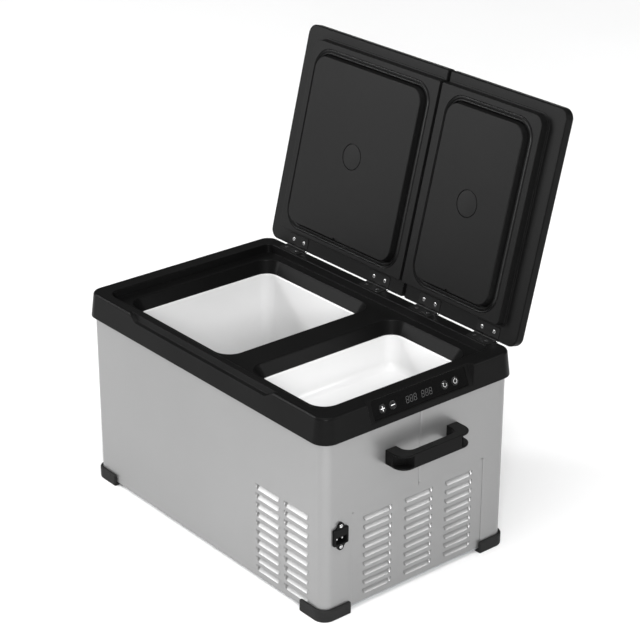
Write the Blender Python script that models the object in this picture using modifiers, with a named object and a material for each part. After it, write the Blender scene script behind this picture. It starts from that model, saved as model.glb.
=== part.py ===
"""Portable compressor cooler with a deep well, a shallow well and two hinged lids, shown open.

Metres, +Z up. The front is at -Y, the machine bay is at the +X end, and the soles of the feet are at Z = 0.
"""

import bmesh
import bpy
from math import asin, atan2, copysign, cos, pi, radians, sin
from mathutils import Matrix, Vector

for old in list(bpy.data.objects):
    bpy.data.objects.remove(old, do_unlink=True)

# Painted sheet body
BODY_LENGTH = 0.560
BODY_WIDTH = 0.350
BODY_HEIGHT = 0.2758
BODY_CORNER = 0.015
BODY_BOTTOM = 0.007
SHEET = 0.001
FIT = 0.0003
SEAM_GAP = 0.0006
SEAM_Y = 0.0015
RETURN_DEPTH = 0.0042
RETURN_BEND = 0.0016
RELIEF_RADIUS = 0.0018
BASE_SHEET = 0.0015

# Pressed louvers
LOUVER_HEIGHT = 0.011
LOUVER_DEPTH = 0.005
LOUVER_END = 0.005
FRONT_LOUVER_LENGTH = 0.0555
FRONT_LOUVER_ROWS = 10
FRONT_LOUVER_PITCH = 0.0150
FRONT_LOUVER_TOP = 0.1607
FRONT_LOUVER_STEP = 0.0646
FRONT_LOUVER_FROM_END = 0.0594
SIDE_LOUVER_LENGTH = 0.0547
SIDE_LOUVER_ROWS = 9
SIDE_LOUVER_PITCH = 0.0149
SIDE_LOUVER_TOP = 0.1468
SIDE_LOUVER_STEP = 0.0780

# Access panel in the right end
PANEL_FROM_FRONT = 0.05265
PANEL_FROM_BACK = 0.04585
PANEL_HEIGHT = 0.153
PANEL_GAP = 0.0005
PANEL_TUCK = 0.0035

# Corner feet
FOOT_LEG = 0.049
FOOT_TOP = 0.0190
FOOT_PROUD = 0.0045
FOOT_ROUND = 0.003
SOLE_ROUND = 0.0015

# Moulded top frame
RIM_HEIGHT = 0.0394
RIM_OVERHANG = 0.0077
RIM_DRAFT = 0.0049
RIM_CORNER = 0.020
RIM_ROUND = 0.004
SKIRT_DEPTH = 0.0125
BORDER_END = 0.0302
BORDER_FRONT = 0.0198
BORDER_BACK = 0.0223
RECESS_DEPTH = 0.013
RECESS_DRAFT = 0.003
RECESS_ROUND = 0.0012
RECESS_CORNER = 0.030
FUNNEL_RUN = 0.012
FUNNEL_CORNER = 0.028
FUNNEL_LIP = 0.0015
LIFT_HALF_LENGTH = 0.177
LIFT_END = 0.024
LIFT_DEPTH = 0.0115
LIFT_SLOPE = 0.0022
LIFT_SETBACK = 0.0068
LIFT_WALL_LEAN = 0.0030
LIFT_STEPS = 6

# Inner liner
END_WALL = 0.0565
FRONT_WALL = 0.0445
BACK_WALL = 0.0470
BRIDGE_CENTRE = 0.0435
BRIDGE_WIDTH = 0.0700
LIP_DROP = 0.0330
LIP_LEDGE = 0.002
LIP_ROUND = 0.0015
LINER = 0.0025
WELL_CORNER = 0.020
WELL_DRAFT = 0.004
WELL_FLOOR_ROUND = 0.012
SHALLOW_DEPTH = 0.053
FOAM_FLOOR = 0.034

# Machine bay
BAY_LENGTH = 0.168
BAY_HEIGHT = 0.162

# Evaporator plate round the deep well
EVAPORATOR = 0.0015
EVAPORATOR_LOW = 0.080
EVAPORATOR_HIGH = 0.225

# Compressor
COMPRESSOR_RADIUS = 0.050
COMPRESSOR_HEIGHT = 0.104
COMPRESSOR_ROUND = 0.018
COMPRESSOR_BELT = 0.42
COMPRESSOR_WELD = 0.0015
COMPRESSOR_Y = 0.085
BRACKET = 0.003
BRACKET_LENGTH = 0.120
BRACKET_WIDTH = 0.096
MOUNT_HEIGHT = 0.014
MOUNT_RADIUS = 0.009

# Fan and condenser
FAN_SIZE = 0.092
FAN_DEPTH = 0.025
FAN_BORE = 0.043
FAN_HUB = 0.018
FAN_BLADES = 7
FAN_TIP_GAP = 0.0015
FAN_SHAFT = 0.002
FAN_Y = -0.094
FAN_STRUT = 0.006
FAN_BACK = 0.004
FAN_CORNER = 0.004
FAN_CHORD = 0.018
FAN_BLADE = 0.0018
FAN_PITCH = radians(35)
CONDENSER_DEPTH = 0.030
CONDENSER_FINS = 5
CONDENSER_FIN = 0.0012
CONDENSER_LENGTH = 0.104
CONDENSER_HEIGHT = 0.100
CONDENSER_TUBE = 0.0035
CONDENSER_ROWS = 2

# Driver board of the compressor
BOARD = 0.0016
BOARD_WIDTH = 0.085
BOARD_HEIGHT = 0.062
BOARD_LOW = 0.070
BOARD_Y = -0.020
SINK_DEPTH = 0.012
SINK_WIDTH = 0.040
SINK_FINS = 4

# Control panel in the right end of the top frame
CONTROL_INSET = 0.0093
CONTROL_LOW = 0.0306
CONTROL_HALF = 0.0965
CONTROL_FLARE = 0.45
CONTROL_REACH = 0.03
FASCIA_LENGTH = 0.176
FASCIA_HEIGHT = 0.0285
FASCIA = 0.0018
FASCIA_CORNER = 0.002
FASCIA_DROP = 0.0008
BUTTON_RADIUS = 0.0062
BUTTON_CLEARANCE = 0.0003
BUTTON_PROUD = 0.0005
BUTTON_TRAVEL = 0.0006
BUTTON_STEM = 0.002
PLUS_Y = -0.0700
MINUS_Y = -0.0511
SET_Y = 0.0465
POWER_Y = 0.0661
BUTTON_LIFT = -0.0013
CONTROL_POCKET = 0.008
CONTROL_POCKET_MARGIN = 0.004
CONTROL_POCKET_LOW = 0.0075
DISPLAY_LENGTH = 0.052
DISPLAY_HEIGHT = 0.011
DISPLAY_Y = -0.0025

# Power inlet
INLET_FROM_FRONT = 0.0295
INLET_Z = 0.1325
INLET_WIDTH = 0.0272
INLET_HEIGHT = 0.0265
INLET_FLANGE = 0.0042
INLET_CORNER = 0.0025
INLET_BEVEL = 0.0012
INLET_EAR = 0.0055
INLET_EAR_STEP = 0.0165
INLET_EAR_FOOT = 0.0105
INLET_EAR_THICKNESS = 0.0028
INLET_BODY_WIDTH = 0.024
INLET_BODY_HEIGHT = 0.024
INLET_BODY_DEPTH = 0.018
INLET_SOCKET_WIDTH = 0.0195
INLET_SOCKET_HEIGHT = 0.011
INLET_SOCKET_DEPTH = 0.014
INLET_SOCKET_DROP = 0.0050
INLET_PIN_RADIUS = 0.002
INLET_PIN_STEP = 0.0101
INLET_PIN_SEAT = 0.003

# Carry handles
HANDLE_Y = 0.004
HANDLE_Z = 0.2284
HANDLE_LENGTH = 0.136
HANDLE_HEIGHT = 0.0225
HANDLE_OUT = 0.036
HANDLE_POST = 0.020
HANDLE_GRIP = 0.013
HANDLE_OUTER_BEND = 0.018
HANDLE_INNER_BEND = 0.014
HANDLE_FLANGE = 0.003
HANDLE_POCKET = 0.009
HANDLE_POCKET_RUN = 0.0027

# Lids
LID_OPEN = radians(103.85)
LID_GAP = 0.0019
LID_OVERHANG_END = 0.0012
LID_BACK = -0.0005
LID_SETBACK_FRONT = 0.0020
LID_SPLIT = 0.003
LID_THICKNESS = 0.0165
LID_ROUND = 0.005
LID_CORNER = 0.016
LID_SPLIT_CORNER = 0.003
LID_LEAST_CORNER = 0.0006
LID_EASE = 0.001
LID_SKIN = 0.0028
LID_RIM = 0.0012
PANEL_SHEET = 0.0019
FRAME_HEIGHT = 0.011
FRAME_CLEARANCE = 0.0018
FRAME_SPLIT = 0.0072
FRAME_CORNER = 0.0235
GROOVE_DEPTH = 0.005
GROOVE_WIDTH = 0.0115
GROOVE_MARGIN = 0.0055
SPLIT_MARGIN = 0.013
CENTRE_HEIGHT = 0.0045
CENTRE_DRAFT = 0.0035
CENTRE_CORNER = 0.022
GASKET_CLEARANCE = 0.0007
GASKET_SQUEEZE_GAP = 0.0006
GASKET_SECTION = ((0.00, 0.00), (0.00, 0.42), (0.12, 0.62), (0.06, 0.82), (0.30, 1.00),
                  (0.62, 0.88), (0.82, 0.45), (1.00, 0.24), (1.00, 0.00))
PLUG_RADIUS = 0.0205
PLUG_HEAD = 0.0022
PLUG_STEP = 0.0035
NOTCH_LENGTH = 0.014
NOTCH_WIDTH = 0.005

# Hinges
HINGE_LENGTH = 0.046
LEFT_HINGE_FROM_END = 0.0710
LEFT_HINGE_FROM_SPLIT = 0.0590
RIGHT_HINGE_FROM_SPLIT = 0.0560
RIGHT_HINGE_FROM_END = 0.0584
AXIS_BEHIND_RIM = 0.0007
BARREL_RADIUS = 0.0022
PIN_RADIUS = 0.0012
PIN_HEAD = 0.0017
LEAF = 0.0012
LEAF_SEAT = 0.0008
LEAF_DEPTH = 0.0195
KNUCKLE_GAP = 0.0004
RUNNING_GAP = 0.0001

CORNER_STEPS = 4
SMALL_CORNER = 0.005
ROUND_STEPS = 3
PIN_SIDES = 12
ROD_SIDES = 20
STEM_SIDES = 8
SCOOP_SIDES = 8
RELIEF_SIDES = 8
MOUNT_SIDES = 8
COMPRESSOR_SIDES = 16
FAN_SIDES = 20
TUBE_SIDES = 6
MERGE = 1e-6
SHARP_ANGLE = radians(32)

# Levels and faces that follow from the sizes above
HALF_X = BODY_LENGTH / 2
HALF_Y = BODY_WIDTH / 2
RIM_BOTTOM = BODY_BOTTOM + BODY_HEIGHT
RIM_TOP = RIM_BOTTOM + RIM_HEIGHT
RIM_X = HALF_X + RIM_OVERHANG - RIM_DRAFT
RIM_Y = HALF_Y + RIM_OVERHANG - RIM_DRAFT
UNDER_RIM = RIM_BOTTOM + SKIRT_DEPTH
BASE_TOP = BODY_BOTTOM + BASE_SHEET
OPENING_TOP = BODY_BOTTOM + PANEL_HEIGHT
PANEL_WIDTH = BODY_WIDTH - PANEL_FROM_FRONT - PANEL_FROM_BACK
PANEL_Y = (PANEL_FROM_FRONT - PANEL_FROM_BACK) / 2
INLET_Y = INLET_FROM_FRONT - HALF_Y
SEAM_FOOT = OPENING_TOP + PANEL_TUCK + FIT
LEDGE_Z = RIM_TOP - RECESS_DEPTH
LIP_Z = RIM_TOP - LIP_DROP
INSIDE_X = HALF_X - SHEET
INSIDE_Y = HALF_Y - SHEET
BAY_X = INSIDE_X - BAY_LENGTH
BAY_TOP = BODY_BOTTOM + BAY_HEIGHT
DEEP_FLOOR = BASE_TOP + FOAM_FLOOR + LINER
SHALLOW_FLOOR = LIP_Z - SHALLOW_DEPTH
WELL_FRONT = -(HALF_Y - FRONT_WALL)
WELL_BACK = HALF_Y - BACK_WALL
DEEP_WELL = (-(HALF_X - END_WALL), BRIDGE_CENTRE - BRIDGE_WIDTH / 2, WELL_FRONT, WELL_BACK)
SHALLOW_WELL = (BRIDGE_CENTRE + BRIDGE_WIDTH / 2, HALF_X - END_WALL, WELL_FRONT, WELL_BACK)
RECESS = (-(RIM_X - BORDER_END), RIM_X - BORDER_END, -(RIM_Y - BORDER_FRONT), RIM_Y - BORDER_BACK)
AXIS_Y = RIM_Y + AXIS_BEHIND_RIM
AXIS_Z = RIM_TOP
LID_FRONT = -(RIM_Y - LID_SETBACK_FRONT)
LID_END = RIM_X + LID_OVERHANG_END
HINGE_X = {"left_lid": (LEFT_HINGE_FROM_END - LID_END, BRIDGE_CENTRE - LEFT_HINGE_FROM_SPLIT),
           "right_lid": (BRIDGE_CENTRE + RIGHT_HINGE_FROM_SPLIT, LID_END - RIGHT_HINGE_FROM_END)}

# The whole object, lids open, is centred on the origin from front to back
LID_REACH = AXIS_Y - LID_FRONT
LID_TIP_Y = (AXIS_Y + (LID_REACH - LID_ROUND) * -cos(LID_OPEN)
             + (LID_GAP + LID_THICKNESS - LID_ROUND) * sin(LID_OPEN) + LID_ROUND)
BODY_SHIFT = -(LID_TIP_Y - (HALF_Y + RIM_OVERHANG)) / 2


def collection(name):
    made = bpy.data.collections.new(name)
    bpy.context.scene.collection.children.link(made)
    return made


PARTS = collection("compressor_cooler")
CUTTERS = collection("cutters")


def finish(name, colour, roughness, metallic=0.0):
    material = bpy.data.materials.new(name)
    material.use_nodes = True
    shader = material.node_tree.nodes["Principled BSDF"]
    shader.inputs["Base Color"].default_value = (*colour, 1.0)
    shader.inputs["Roughness"].default_value = roughness
    shader.inputs["Metallic"].default_value = metallic
    return material


PAINT = finish("painted_sheet", (0.40, 0.40, 0.40), 0.42, 0.35)
BLACK = finish("black_moulding", (0.014, 0.014, 0.015), 0.48)
CHARCOAL = finish("lid_lining", (0.032, 0.032, 0.034), 0.55)
WHITE = finish("white_liner", (0.80, 0.80, 0.80), 0.25)
GLOSS = finish("gloss_fascia", (0.004, 0.004, 0.005), 0.08)
RUBBER = finish("seal_rubber", (0.020, 0.020, 0.021), 0.70)
STEEL = finish("bright_steel", (0.62, 0.62, 0.60), 0.28, 1.0)
BLACK_STEEL = finish("hinge_black", (0.010, 0.010, 0.010), 0.40, 0.4)
FOAM = finish("insulation_foam", (0.70, 0.62, 0.42), 0.90)
GALVANISED = finish("galvanised_pan", (0.48, 0.50, 0.52), 0.45, 0.9)
ALUMINIUM = finish("fin_aluminium", (0.66, 0.67, 0.68), 0.35, 1.0)
ENAMEL = finish("compressor_enamel", (0.012, 0.012, 0.013), 0.30)
CIRCUIT = finish("circuit_board", (0.010, 0.075, 0.030), 0.50)


def frame_empty(name, parent=None, place=(0, 0, 0), turn=(0, 0, 0)):
    empty = bpy.data.objects.new(name, None)
    PARTS.objects.link(empty)
    empty.parent = parent
    empty.location = place
    empty.rotation_euler = turn
    return empty


COOLER = frame_empty("cooler", place=(0, BODY_SHIFT, 0))


def part(name, mesh, material, parent=COOLER):
    mesh.name = name
    mesh.materials.clear()
    mesh.materials.append(material)
    made = bpy.data.objects.new(name, mesh)
    PARTS.objects.link(made)
    made.parent = parent
    return made


def tool(name, mesh, parent=COOLER):
    """A shape that only cuts or joins, drawn as wire and never built."""
    made = bpy.data.objects.new(name, mesh)
    CUTTERS.objects.link(made)
    made.parent = parent
    made.hide_render = True
    made.display_type = "WIRE"
    return made


def combine(target, other, operation):
    modifier = target.modifiers.new(other.name, "BOOLEAN")
    modifier.operation = operation
    modifier.solver = "EXACT"
    modifier.object = other


def cut(target, name, mesh, parent=None):
    combine(target, tool(name, mesh, parent or target.parent), "DIFFERENCE")


def join(target, name, mesh, parent=None):
    combine(target, tool(name, mesh, parent or target.parent), "UNION")


def mesh_of(shape):
    bmesh.ops.recalc_face_normals(shape, faces=shape.faces)
    mesh = bpy.data.meshes.new("shape")
    shape.to_mesh(mesh)
    shape.free()
    mesh.shade_smooth()
    mesh.set_sharp_from_angle(angle=SHARP_ANGLE)
    return mesh


def merged(meshes):
    """Several closed shapes that stay apart, as one mesh."""
    shape = bmesh.new()
    for mesh in meshes:
        shape.from_mesh(mesh)
    return mesh_of(shape)


def moved(mesh, x=0.0, y=0.0, z=0.0):
    mesh.transform(Matrix.Translation((x, y, z)))
    return mesh


def block(x0, x1, y0, y1, z0, z1):
    shape = bmesh.new()
    bmesh.ops.create_cube(shape, size=1.0)
    bmesh.ops.scale(shape, vec=(x1 - x0, y1 - y0, z1 - z0), verts=shape.verts)
    bmesh.ops.translate(shape, vec=((x0 + x1) / 2, (y0 + y1) / 2, (z0 + z1) / 2), verts=shape.verts)
    return mesh_of(shape)


def rod(radius, low, high, axis="Z", sides=ROD_SIDES):
    """A cylinder about an axis through the origin, from low to high along it."""
    shape = bmesh.new()
    bmesh.ops.create_cone(shape, cap_ends=True, segments=sides, radius1=radius, radius2=radius, depth=high - low)
    bmesh.ops.translate(shape, vec=(0, 0, (low + high) / 2), verts=shape.verts)
    if axis == "X":
        bmesh.ops.rotate(shape, matrix=Matrix.Rotation(pi / 2, 3, "Y"), verts=shape.verts)
    if axis == "Y":
        bmesh.ops.rotate(shape, matrix=Matrix.Rotation(-pi / 2, 3, "X"), verts=shape.verts)
    return mesh_of(shape)


def corner_rect(box, radii, steps=CORNER_STEPS):
    """A rectangle (x0, x1, y0, y1) with a round of its own at each corner, anticlockwise from +X +Y."""
    x0, x1, y0, y1 = box
    if isinstance(radii, float):
        radii = (radii,) * 4
    corners = ((x1, y1, -1, -1), (x0, y1, 1, -1), (x0, y0, 1, 1), (x1, y0, -1, 1))
    points = []
    for quarter, ((x, y, inward_x, inward_y), radius) in enumerate(zip(corners, radii)):
        count = steps if radius > SMALL_CORNER else min(steps, 2)
        for step in range(count + 1):
            angle = (quarter + step / count) * pi / 2
            points.append((x + radius * (inward_x + cos(angle)), y + radius * (inward_y + sin(angle))))
    return points


def grown(box, by):
    x0, x1, y0, y1 = box
    return (x0 - by, x1 + by, y0 - by, y1 + by)


def level(points, z):
    return [Vector((x, y, z)) for x, y in points]


def ring(box, radii, z, steps=CORNER_STEPS):
    return level(corner_rect(box, radii, steps), z)


def loft(rings, ring_shape=False):
    """A skin through rings of equal count, capped at both ends or, as a ring shape, closed on itself."""
    shape = bmesh.new()
    rows = [[shape.verts.new(point) for point in points] for points in rings]
    count = len(rows[0])
    pairs = list(zip(rows, rows[1:]))
    if ring_shape:
        pairs.append((rows[-1], rows[0]))
    for lower, upper in pairs:
        for i in range(count):
            j = (i + 1) % count
            shape.faces.new((lower[i], lower[j], upper[j], upper[i]))
    if not ring_shape:
        shape.faces.new(reversed(rows[0]))
        shape.faces.new(rows[-1])
    return mesh_of(shape)


def slab(box, radii, z0, z1, steps=CORNER_STEPS):
    return loft([ring(box, radii, z, steps) for z in (z0, z1)])


def as_mesh(made):
    """The evaluated mesh of an object that was only drawn to be read, with its doubles merged."""
    CUTTERS.objects.link(made)
    bpy.context.view_layer.update()
    evaluated = made.evaluated_get(bpy.context.evaluated_depsgraph_get())
    mesh = bpy.data.meshes.new_from_object(evaluated)
    bpy.data.objects.remove(made, do_unlink=True)
    shape = bmesh.new()
    shape.from_mesh(mesh)
    bmesh.ops.remove_doubles(shape, verts=shape.verts, dist=MERGE)
    return mesh_of(shape)


def plate_curve(outline, half_thickness):
    """A flat outline in X and Y as a solid plate about Z = 0."""
    curve = bpy.data.curves.new("outline", "CURVE")
    curve.dimensions = "2D"
    curve.fill_mode = "BOTH"
    curve.extrude = half_thickness
    spline = curve.splines.new("POLY")
    spline.points.add(len(outline) - 1)
    for point, (x, y) in zip(spline.points, outline):
        point.co = (x, y, 0, 1)
    spline.use_cyclic_u = True
    return as_mesh(bpy.data.objects.new("outline", curve))


def turned(profile, sides):
    """A profile of radius and height, from the top down, turned about Z."""
    lathe = bpy.data.meshes.new("profile")
    lathe.from_pydata([(radius, 0, z) for radius, z in profile],
                      [(i, i + 1) for i in range(len(profile) - 1)], [])
    spun = bpy.data.objects.new("profile", lathe)
    screw = spun.modifiers.new("turn", "SCREW")
    screw.steps = sides
    screw.render_steps = sides
    screw.use_merge_vertices = True
    screw.merge_threshold = MERGE
    return as_mesh(spun)


def arc(centre, radius, start, end, steps=6):
    x, y = centre
    angles = [start + (end - start) * step / steps for step in range(steps + 1)]
    return [(x + radius * cos(angle), y + radius * sin(angle)) for angle in angles]


def quarter_round(steps=ROUND_STEPS):
    """How far each step of a rounded edge is drawn in and raised, as shares of its radius."""
    angles = [step / steps * pi / 2 for step in range(steps + 1)]
    return [(1 - cos(angle), sin(angle)) for angle in angles]


def centred(length, height, y=0.0, z=0.0):
    return (y - length / 2, y + length / 2, z - height / 2, z + height / 2)


# Louvers: scoops pressed into the sheet, each open to the inside along its upper edge
def scoop(length, height, depth, top, bands):
    """The part of a capsule below a level, lying along Y. More bands, an odd count, make rounder ends."""
    shape = bmesh.new()
    radius = 1 / cos(pi / 2 / bands)
    bmesh.ops.create_uvsphere(shape, u_segments=SCOOP_SIDES, v_segments=bands, radius=radius)
    bmesh.ops.rotate(shape, matrix=Matrix.Rotation(pi / 2, 3, "X"), verts=shape.verts)
    for vert in shape.verts:
        x, along, z = vert.co
        stretch = copysign(length / 2 - LOUVER_END, along)
        vert.co = (x * depth, along * LOUVER_END + stretch, z * height)
    parts = shape.verts[:] + shape.edges[:] + shape.faces[:]
    bmesh.ops.bisect_plane(shape, geom=parts, plane_co=(0, 0, top), plane_no=(0, 0, 1), clear_outer=True)
    bmesh.ops.holes_fill(shape, edges=shape.edges)
    return mesh_of(shape)


def press_louvers(sheet, name, length, spots, place):
    """Adds the pressed-in metal behind a sheet's face at X = 0, then cuts the hollow of each scoop."""
    metal = []
    hollow = []
    for along, height in spots:
        outside = scoop(length + 2 * SHEET, LOUVER_HEIGHT, LOUVER_DEPTH, 0, 3)
        metal.append(moved(outside, -SHEET / 2, along, height))
        inside = scoop(length, LOUVER_HEIGHT - SHEET, LOUVER_DEPTH - SHEET / 2, FIT, 5)
        hollow.append(moved(inside, 0, along, height))
    metal = merged(metal)
    hollow = merged(hollow)
    trim = block(0, LOUVER_DEPTH * 2, -BODY_LENGTH, BODY_LENGTH, -BODY_HEIGHT, BODY_HEIGHT * 2)
    for mesh in (metal, hollow, trim):
        mesh.transform(place)
    pressed = tool(name + "_metal", metal)
    face = tool(name + "_outside", trim)
    combine(pressed, face, "DIFFERENCE")
    combine(sheet, pressed, "UNION")
    cut(sheet, name + "_hollow", hollow)


# Outer shell: one painted sheet wrapped round, its bent ends meeting above the access panel
def through_end(y0, y1, z0, z1):
    """A block through the sheet of the right end."""
    return block(INSIDE_X - SHEET, HALF_X + SHEET, y0, y1, z0, z1)


def bent_edge(shell, name, y, turn, low, high):
    """A cut edge of the right end bent inwards: its return behind the sheet, and the round of its bend."""
    y0, y1 = sorted((y, y + turn * SHEET))
    join(shell, name + "_return", block(HALF_X - RETURN_DEPTH, HALF_X - SHEET / 2, y0, y1, low, high))
    outside = [(HALF_X + FIT, y - turn * FIT), (HALF_X + FIT, y + turn * RETURN_BEND)]
    outside += arc((HALF_X - RETURN_BEND, y + turn * RETURN_BEND), RETURN_BEND, 0, -turn * pi / 2, ROUND_STEPS)
    outside += [(HALF_X - RETURN_BEND, y - turn * FIT)]
    cut(shell, name + "_bend", loft([level(outside, z) for z in (low, high)]))


def outer_shell():
    outside = (-HALF_X, HALF_X, -HALF_Y, HALF_Y)
    shell = part("outer_shell", slab(outside, BODY_CORNER, BODY_BOTTOM, UNDER_RIM - FIT), PAINT)
    cut(shell, "shell_inside", slab(grown(outside, -SHEET), BODY_CORNER - SHEET, 0, RIM_TOP))
    edges = (PANEL_Y - PANEL_WIDTH / 2 - PANEL_GAP, PANEL_Y + PANEL_WIDTH / 2 + PANEL_GAP)
    cut(shell, "access_opening", through_end(*edges, 0, OPENING_TOP))
    ends = (SEAM_Y - SEAM_GAP / 2, SEAM_Y + SEAM_GAP / 2)
    cut(shell, "wrap_seam", through_end(*ends, OPENING_TOP - SHEET, RIM_TOP))
    hole = grown(centred(INLET_BODY_WIDTH, INLET_BODY_HEIGHT, INLET_Y, INLET_Z), FIT)
    cut(shell, "inlet_hole", through_end(*hole))
    for turn, edge, end in zip((-1, 1), edges, ends):
        bent_edge(shell, f"opening_{turn}", edge, turn, BASE_TOP + FIT, OPENING_TOP - RELIEF_RADIUS)
        bent_edge(shell, f"seam_{turn}", end, turn, SEAM_FOOT, RIM_BOTTOM)
        relief = rod(RELIEF_RADIUS, INSIDE_X - SHEET, HALF_X + SHEET, "X", RELIEF_SIDES)
        cut(shell, f"corner_relief_{turn}", moved(relief, 0, edge, OPENING_TOP))
    last_column = HALF_X - FRONT_LOUVER_FROM_END
    spots = [(last_column - column * FRONT_LOUVER_STEP, FRONT_LOUVER_TOP - row * FRONT_LOUVER_PITCH)
             for column in range(2) for row in range(FRONT_LOUVER_ROWS)]
    front = Matrix.Translation((0, -HALF_Y, 0)) @ Matrix.Rotation(-pi / 2, 4, "Z")
    press_louvers(shell, "front_louvers", FRONT_LOUVER_LENGTH, spots, front)


# Access panel: louvered sheet behind the opening's returns, its top edge tucked behind the shell
def access_panel():
    half = PANEL_WIDTH / 2
    face = INSIDE_X - FIT
    low = BASE_TOP + FIT
    plate = block(face - SHEET, face, PANEL_Y - half, PANEL_Y + half, low, OPENING_TOP - RELIEF_RADIUS)
    panel = part("access_panel", plate, PAINT)
    tuck = half - 2 * RELIEF_RADIUS
    join(panel, "panel_tuck", block(face - SHEET, face, PANEL_Y - tuck, PANEL_Y + tuck,
                                    low, OPENING_TOP + PANEL_TUCK))
    spots = [(PANEL_Y + column * SIDE_LOUVER_STEP, SIDE_LOUVER_TOP - row * SIDE_LOUVER_PITCH)
             for column in (-1, 0, 1) for row in range(SIDE_LOUVER_ROWS)]
    press_louvers(panel, "side_louvers", SIDE_LOUVER_LENGTH, spots, Matrix.Translation((face, 0, 0)))


def base_pan():
    inside = grown((-INSIDE_X, INSIDE_X, -INSIDE_Y, INSIDE_Y), -FIT)
    part("base_pan", slab(inside, BODY_CORNER - SHEET - FIT, BODY_BOTTOM, BASE_TOP), GALVANISED)


# Feet: soft corner caps under and round the bottom corners
def foot(end, side, name, body):
    x_out = end * (HALF_X + FOOT_PROUD)
    x_in = end * (HALF_X - FOOT_LEG)
    y_out = side * (HALF_Y + FOOT_PROUD)
    y_in = side * (HALF_Y - FOOT_LEG)
    box = (min(x_out, x_in), max(x_out, x_in), min(y_out, y_in), max(y_out, y_in))
    signs = ((1, 1), (-1, 1), (-1, -1), (1, -1))
    radii = [BODY_CORNER + FOOT_PROUD if sign == (end, side) else FOOT_ROUND for sign in signs]
    rings = [ring(grown(box, -SOLE_ROUND), [radius - SOLE_ROUND for radius in radii], 0),
             ring(box, radii, SOLE_ROUND)]
    for drawn_in, raised in quarter_round():
        inset = (FOOT_ROUND - FIT) * drawn_in
        height = FOOT_TOP - FOOT_ROUND + FOOT_ROUND * raised
        rings.append(ring(grown(box, -inset), [radius - inset for radius in radii], height))
    cap = part(name, loft(rings), RUBBER)
    cut(cap, name + "_corner", body)


def feet():
    body = grown((-HALF_X, HALF_X, -HALF_Y, HALF_Y), FIT)
    for end, x_name in ((-1, "left"), (1, "right")):
        for side, y_name in ((-1, "front"), (1, "back")):
            corner = slab(body, BODY_CORNER + FIT, BODY_BOTTOM - FIT, RIM_TOP)
            foot(end, side, f"foot_{y_name}_{x_name}", corner)


# Top frame: the black moulding that caps the body, with a stepped recess, two funnels and the hinge seats
def top_frame():
    body = (-HALF_X, HALF_X, -HALF_Y, HALF_Y)
    bottom = grown(body, RIM_OVERHANG)
    corner = RIM_CORNER + RIM_DRAFT
    rings = [ring(bottom, corner, RIM_BOTTOM)]
    for drawn_in, raised in quarter_round():
        height = RIM_HEIGHT - RIM_ROUND * (1 - raised)
        inset = RIM_DRAFT * height / RIM_HEIGHT + RIM_ROUND * drawn_in
        rings.append(ring(grown(bottom, -inset), corner - inset, RIM_BOTTOM + height))
    rim = part("top_frame", loft(rings), BLACK)
    plug = LIP_Z + FIT
    cut(rim, "skirt_hollow", slab(grown(body, FIT), BODY_CORNER + FIT, 0, plug))
    groove = SHEET + FIT
    section = ((FIT, plug - FIT), (FIT, UNDER_RIM), (-groove, UNDER_RIM), (-groove, plug - FIT))
    cut(rim, "sheet_groove", loft([ring(grown(body, by), BODY_CORNER + by, z) for by, z in section], True))
    eased = ((-RECESS_DRAFT, LEDGE_Z), (0, RIM_TOP - RECESS_ROUND), (RECESS_ROUND * 2, RIM_TOP + RECESS_ROUND))
    cut(rim, "stepped_recess", loft([ring(grown(RECESS, by), RECESS_CORNER + by, z) for by, z in eased]))
    cut(rim, "deep_funnel", funnel(DEEP_WELL, plug))
    cut(rim, "shallow_funnel", funnel(SHALLOW_WELL, plug))
    cut(rim, "lift_recess", lift_recess())
    control_recess(rim)
    for lid_name, places in HINGE_X.items():
        for index, x in enumerate(places):
            half = HINGE_LENGTH / 2 + FIT
            seat = block(x - half, x + half, AXIS_Y - LEAF_DEPTH - FIT, AXIS_Y + RIM_OVERHANG,
                         RIM_TOP - LEAF_SEAT, RIM_TOP + LEAF_SEAT)
            cut(rim, f"{lid_name}_seat_{index}", seat)
            notch = rod(BARREL_RADIUS + 2 * FIT, -half - PIN_HEAD, half + PIN_HEAD, "X", PIN_SIDES)
            cut(rim, f"{lid_name}_notch_{index}", moved(notch, x, AXIS_Y, AXIS_Z))


def funnel(well, plug):
    """The steep way from the ledge down to the liner's lip."""
    lip = grown(well, LIP_LEDGE)
    lip_corner = WELL_CORNER + LIP_LEDGE
    mouth = grown(well, FUNNEL_RUN)
    low = plug + FUNNEL_LIP
    flare = FUNNEL_LIP * (FUNNEL_RUN - LIP_LEDGE) / (LEDGE_Z - low)
    return loft([ring(lip, lip_corner, plug - FIT), ring(lip, lip_corner, low), ring(mouth, FUNNEL_CORNER, LEDGE_Z),
                 ring(grown(mouth, flare), FUNNEL_CORNER + flare, LEDGE_Z + FUNNEL_LIP)])


def lift_recess():
    """A finger scoop along the front top edge: a floor that dips in an S at each end, under a leaning wall."""
    top = RIM_TOP + RIM_ROUND
    half = LIFT_HALF_LENGTH
    shares = [step / LIFT_STEPS for step in range(LIFT_STEPS + 1)]
    dip = [(half - share * LIFT_END, (1 - cos(share * pi)) / 2) for share in shares]
    profile = dip + [(-x, share) for x, share in reversed(dip)]

    def section(y, depth, lean):
        points = [Vector((x, y + lean * (1 - share), RIM_TOP - depth * share)) for x, share in profile]
        points.append(Vector((-half, y + lean, top)))
        points.append(Vector((half, y + lean, top)))
        return points

    wall = -(RIM_Y - LIFT_SETBACK)
    outside = -(HALF_Y + RIM_OVERHANG + LIFT_SETBACK)
    reach = (wall - outside) / LIFT_SETBACK
    return loft([section(wall - LIFT_WALL_LEAN, LIFT_DEPTH - LIFT_SLOPE, LIFT_WALL_LEAN),
                 section(outside, LIFT_DEPTH + LIFT_SLOPE * (reach - 1), 0)])


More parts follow.
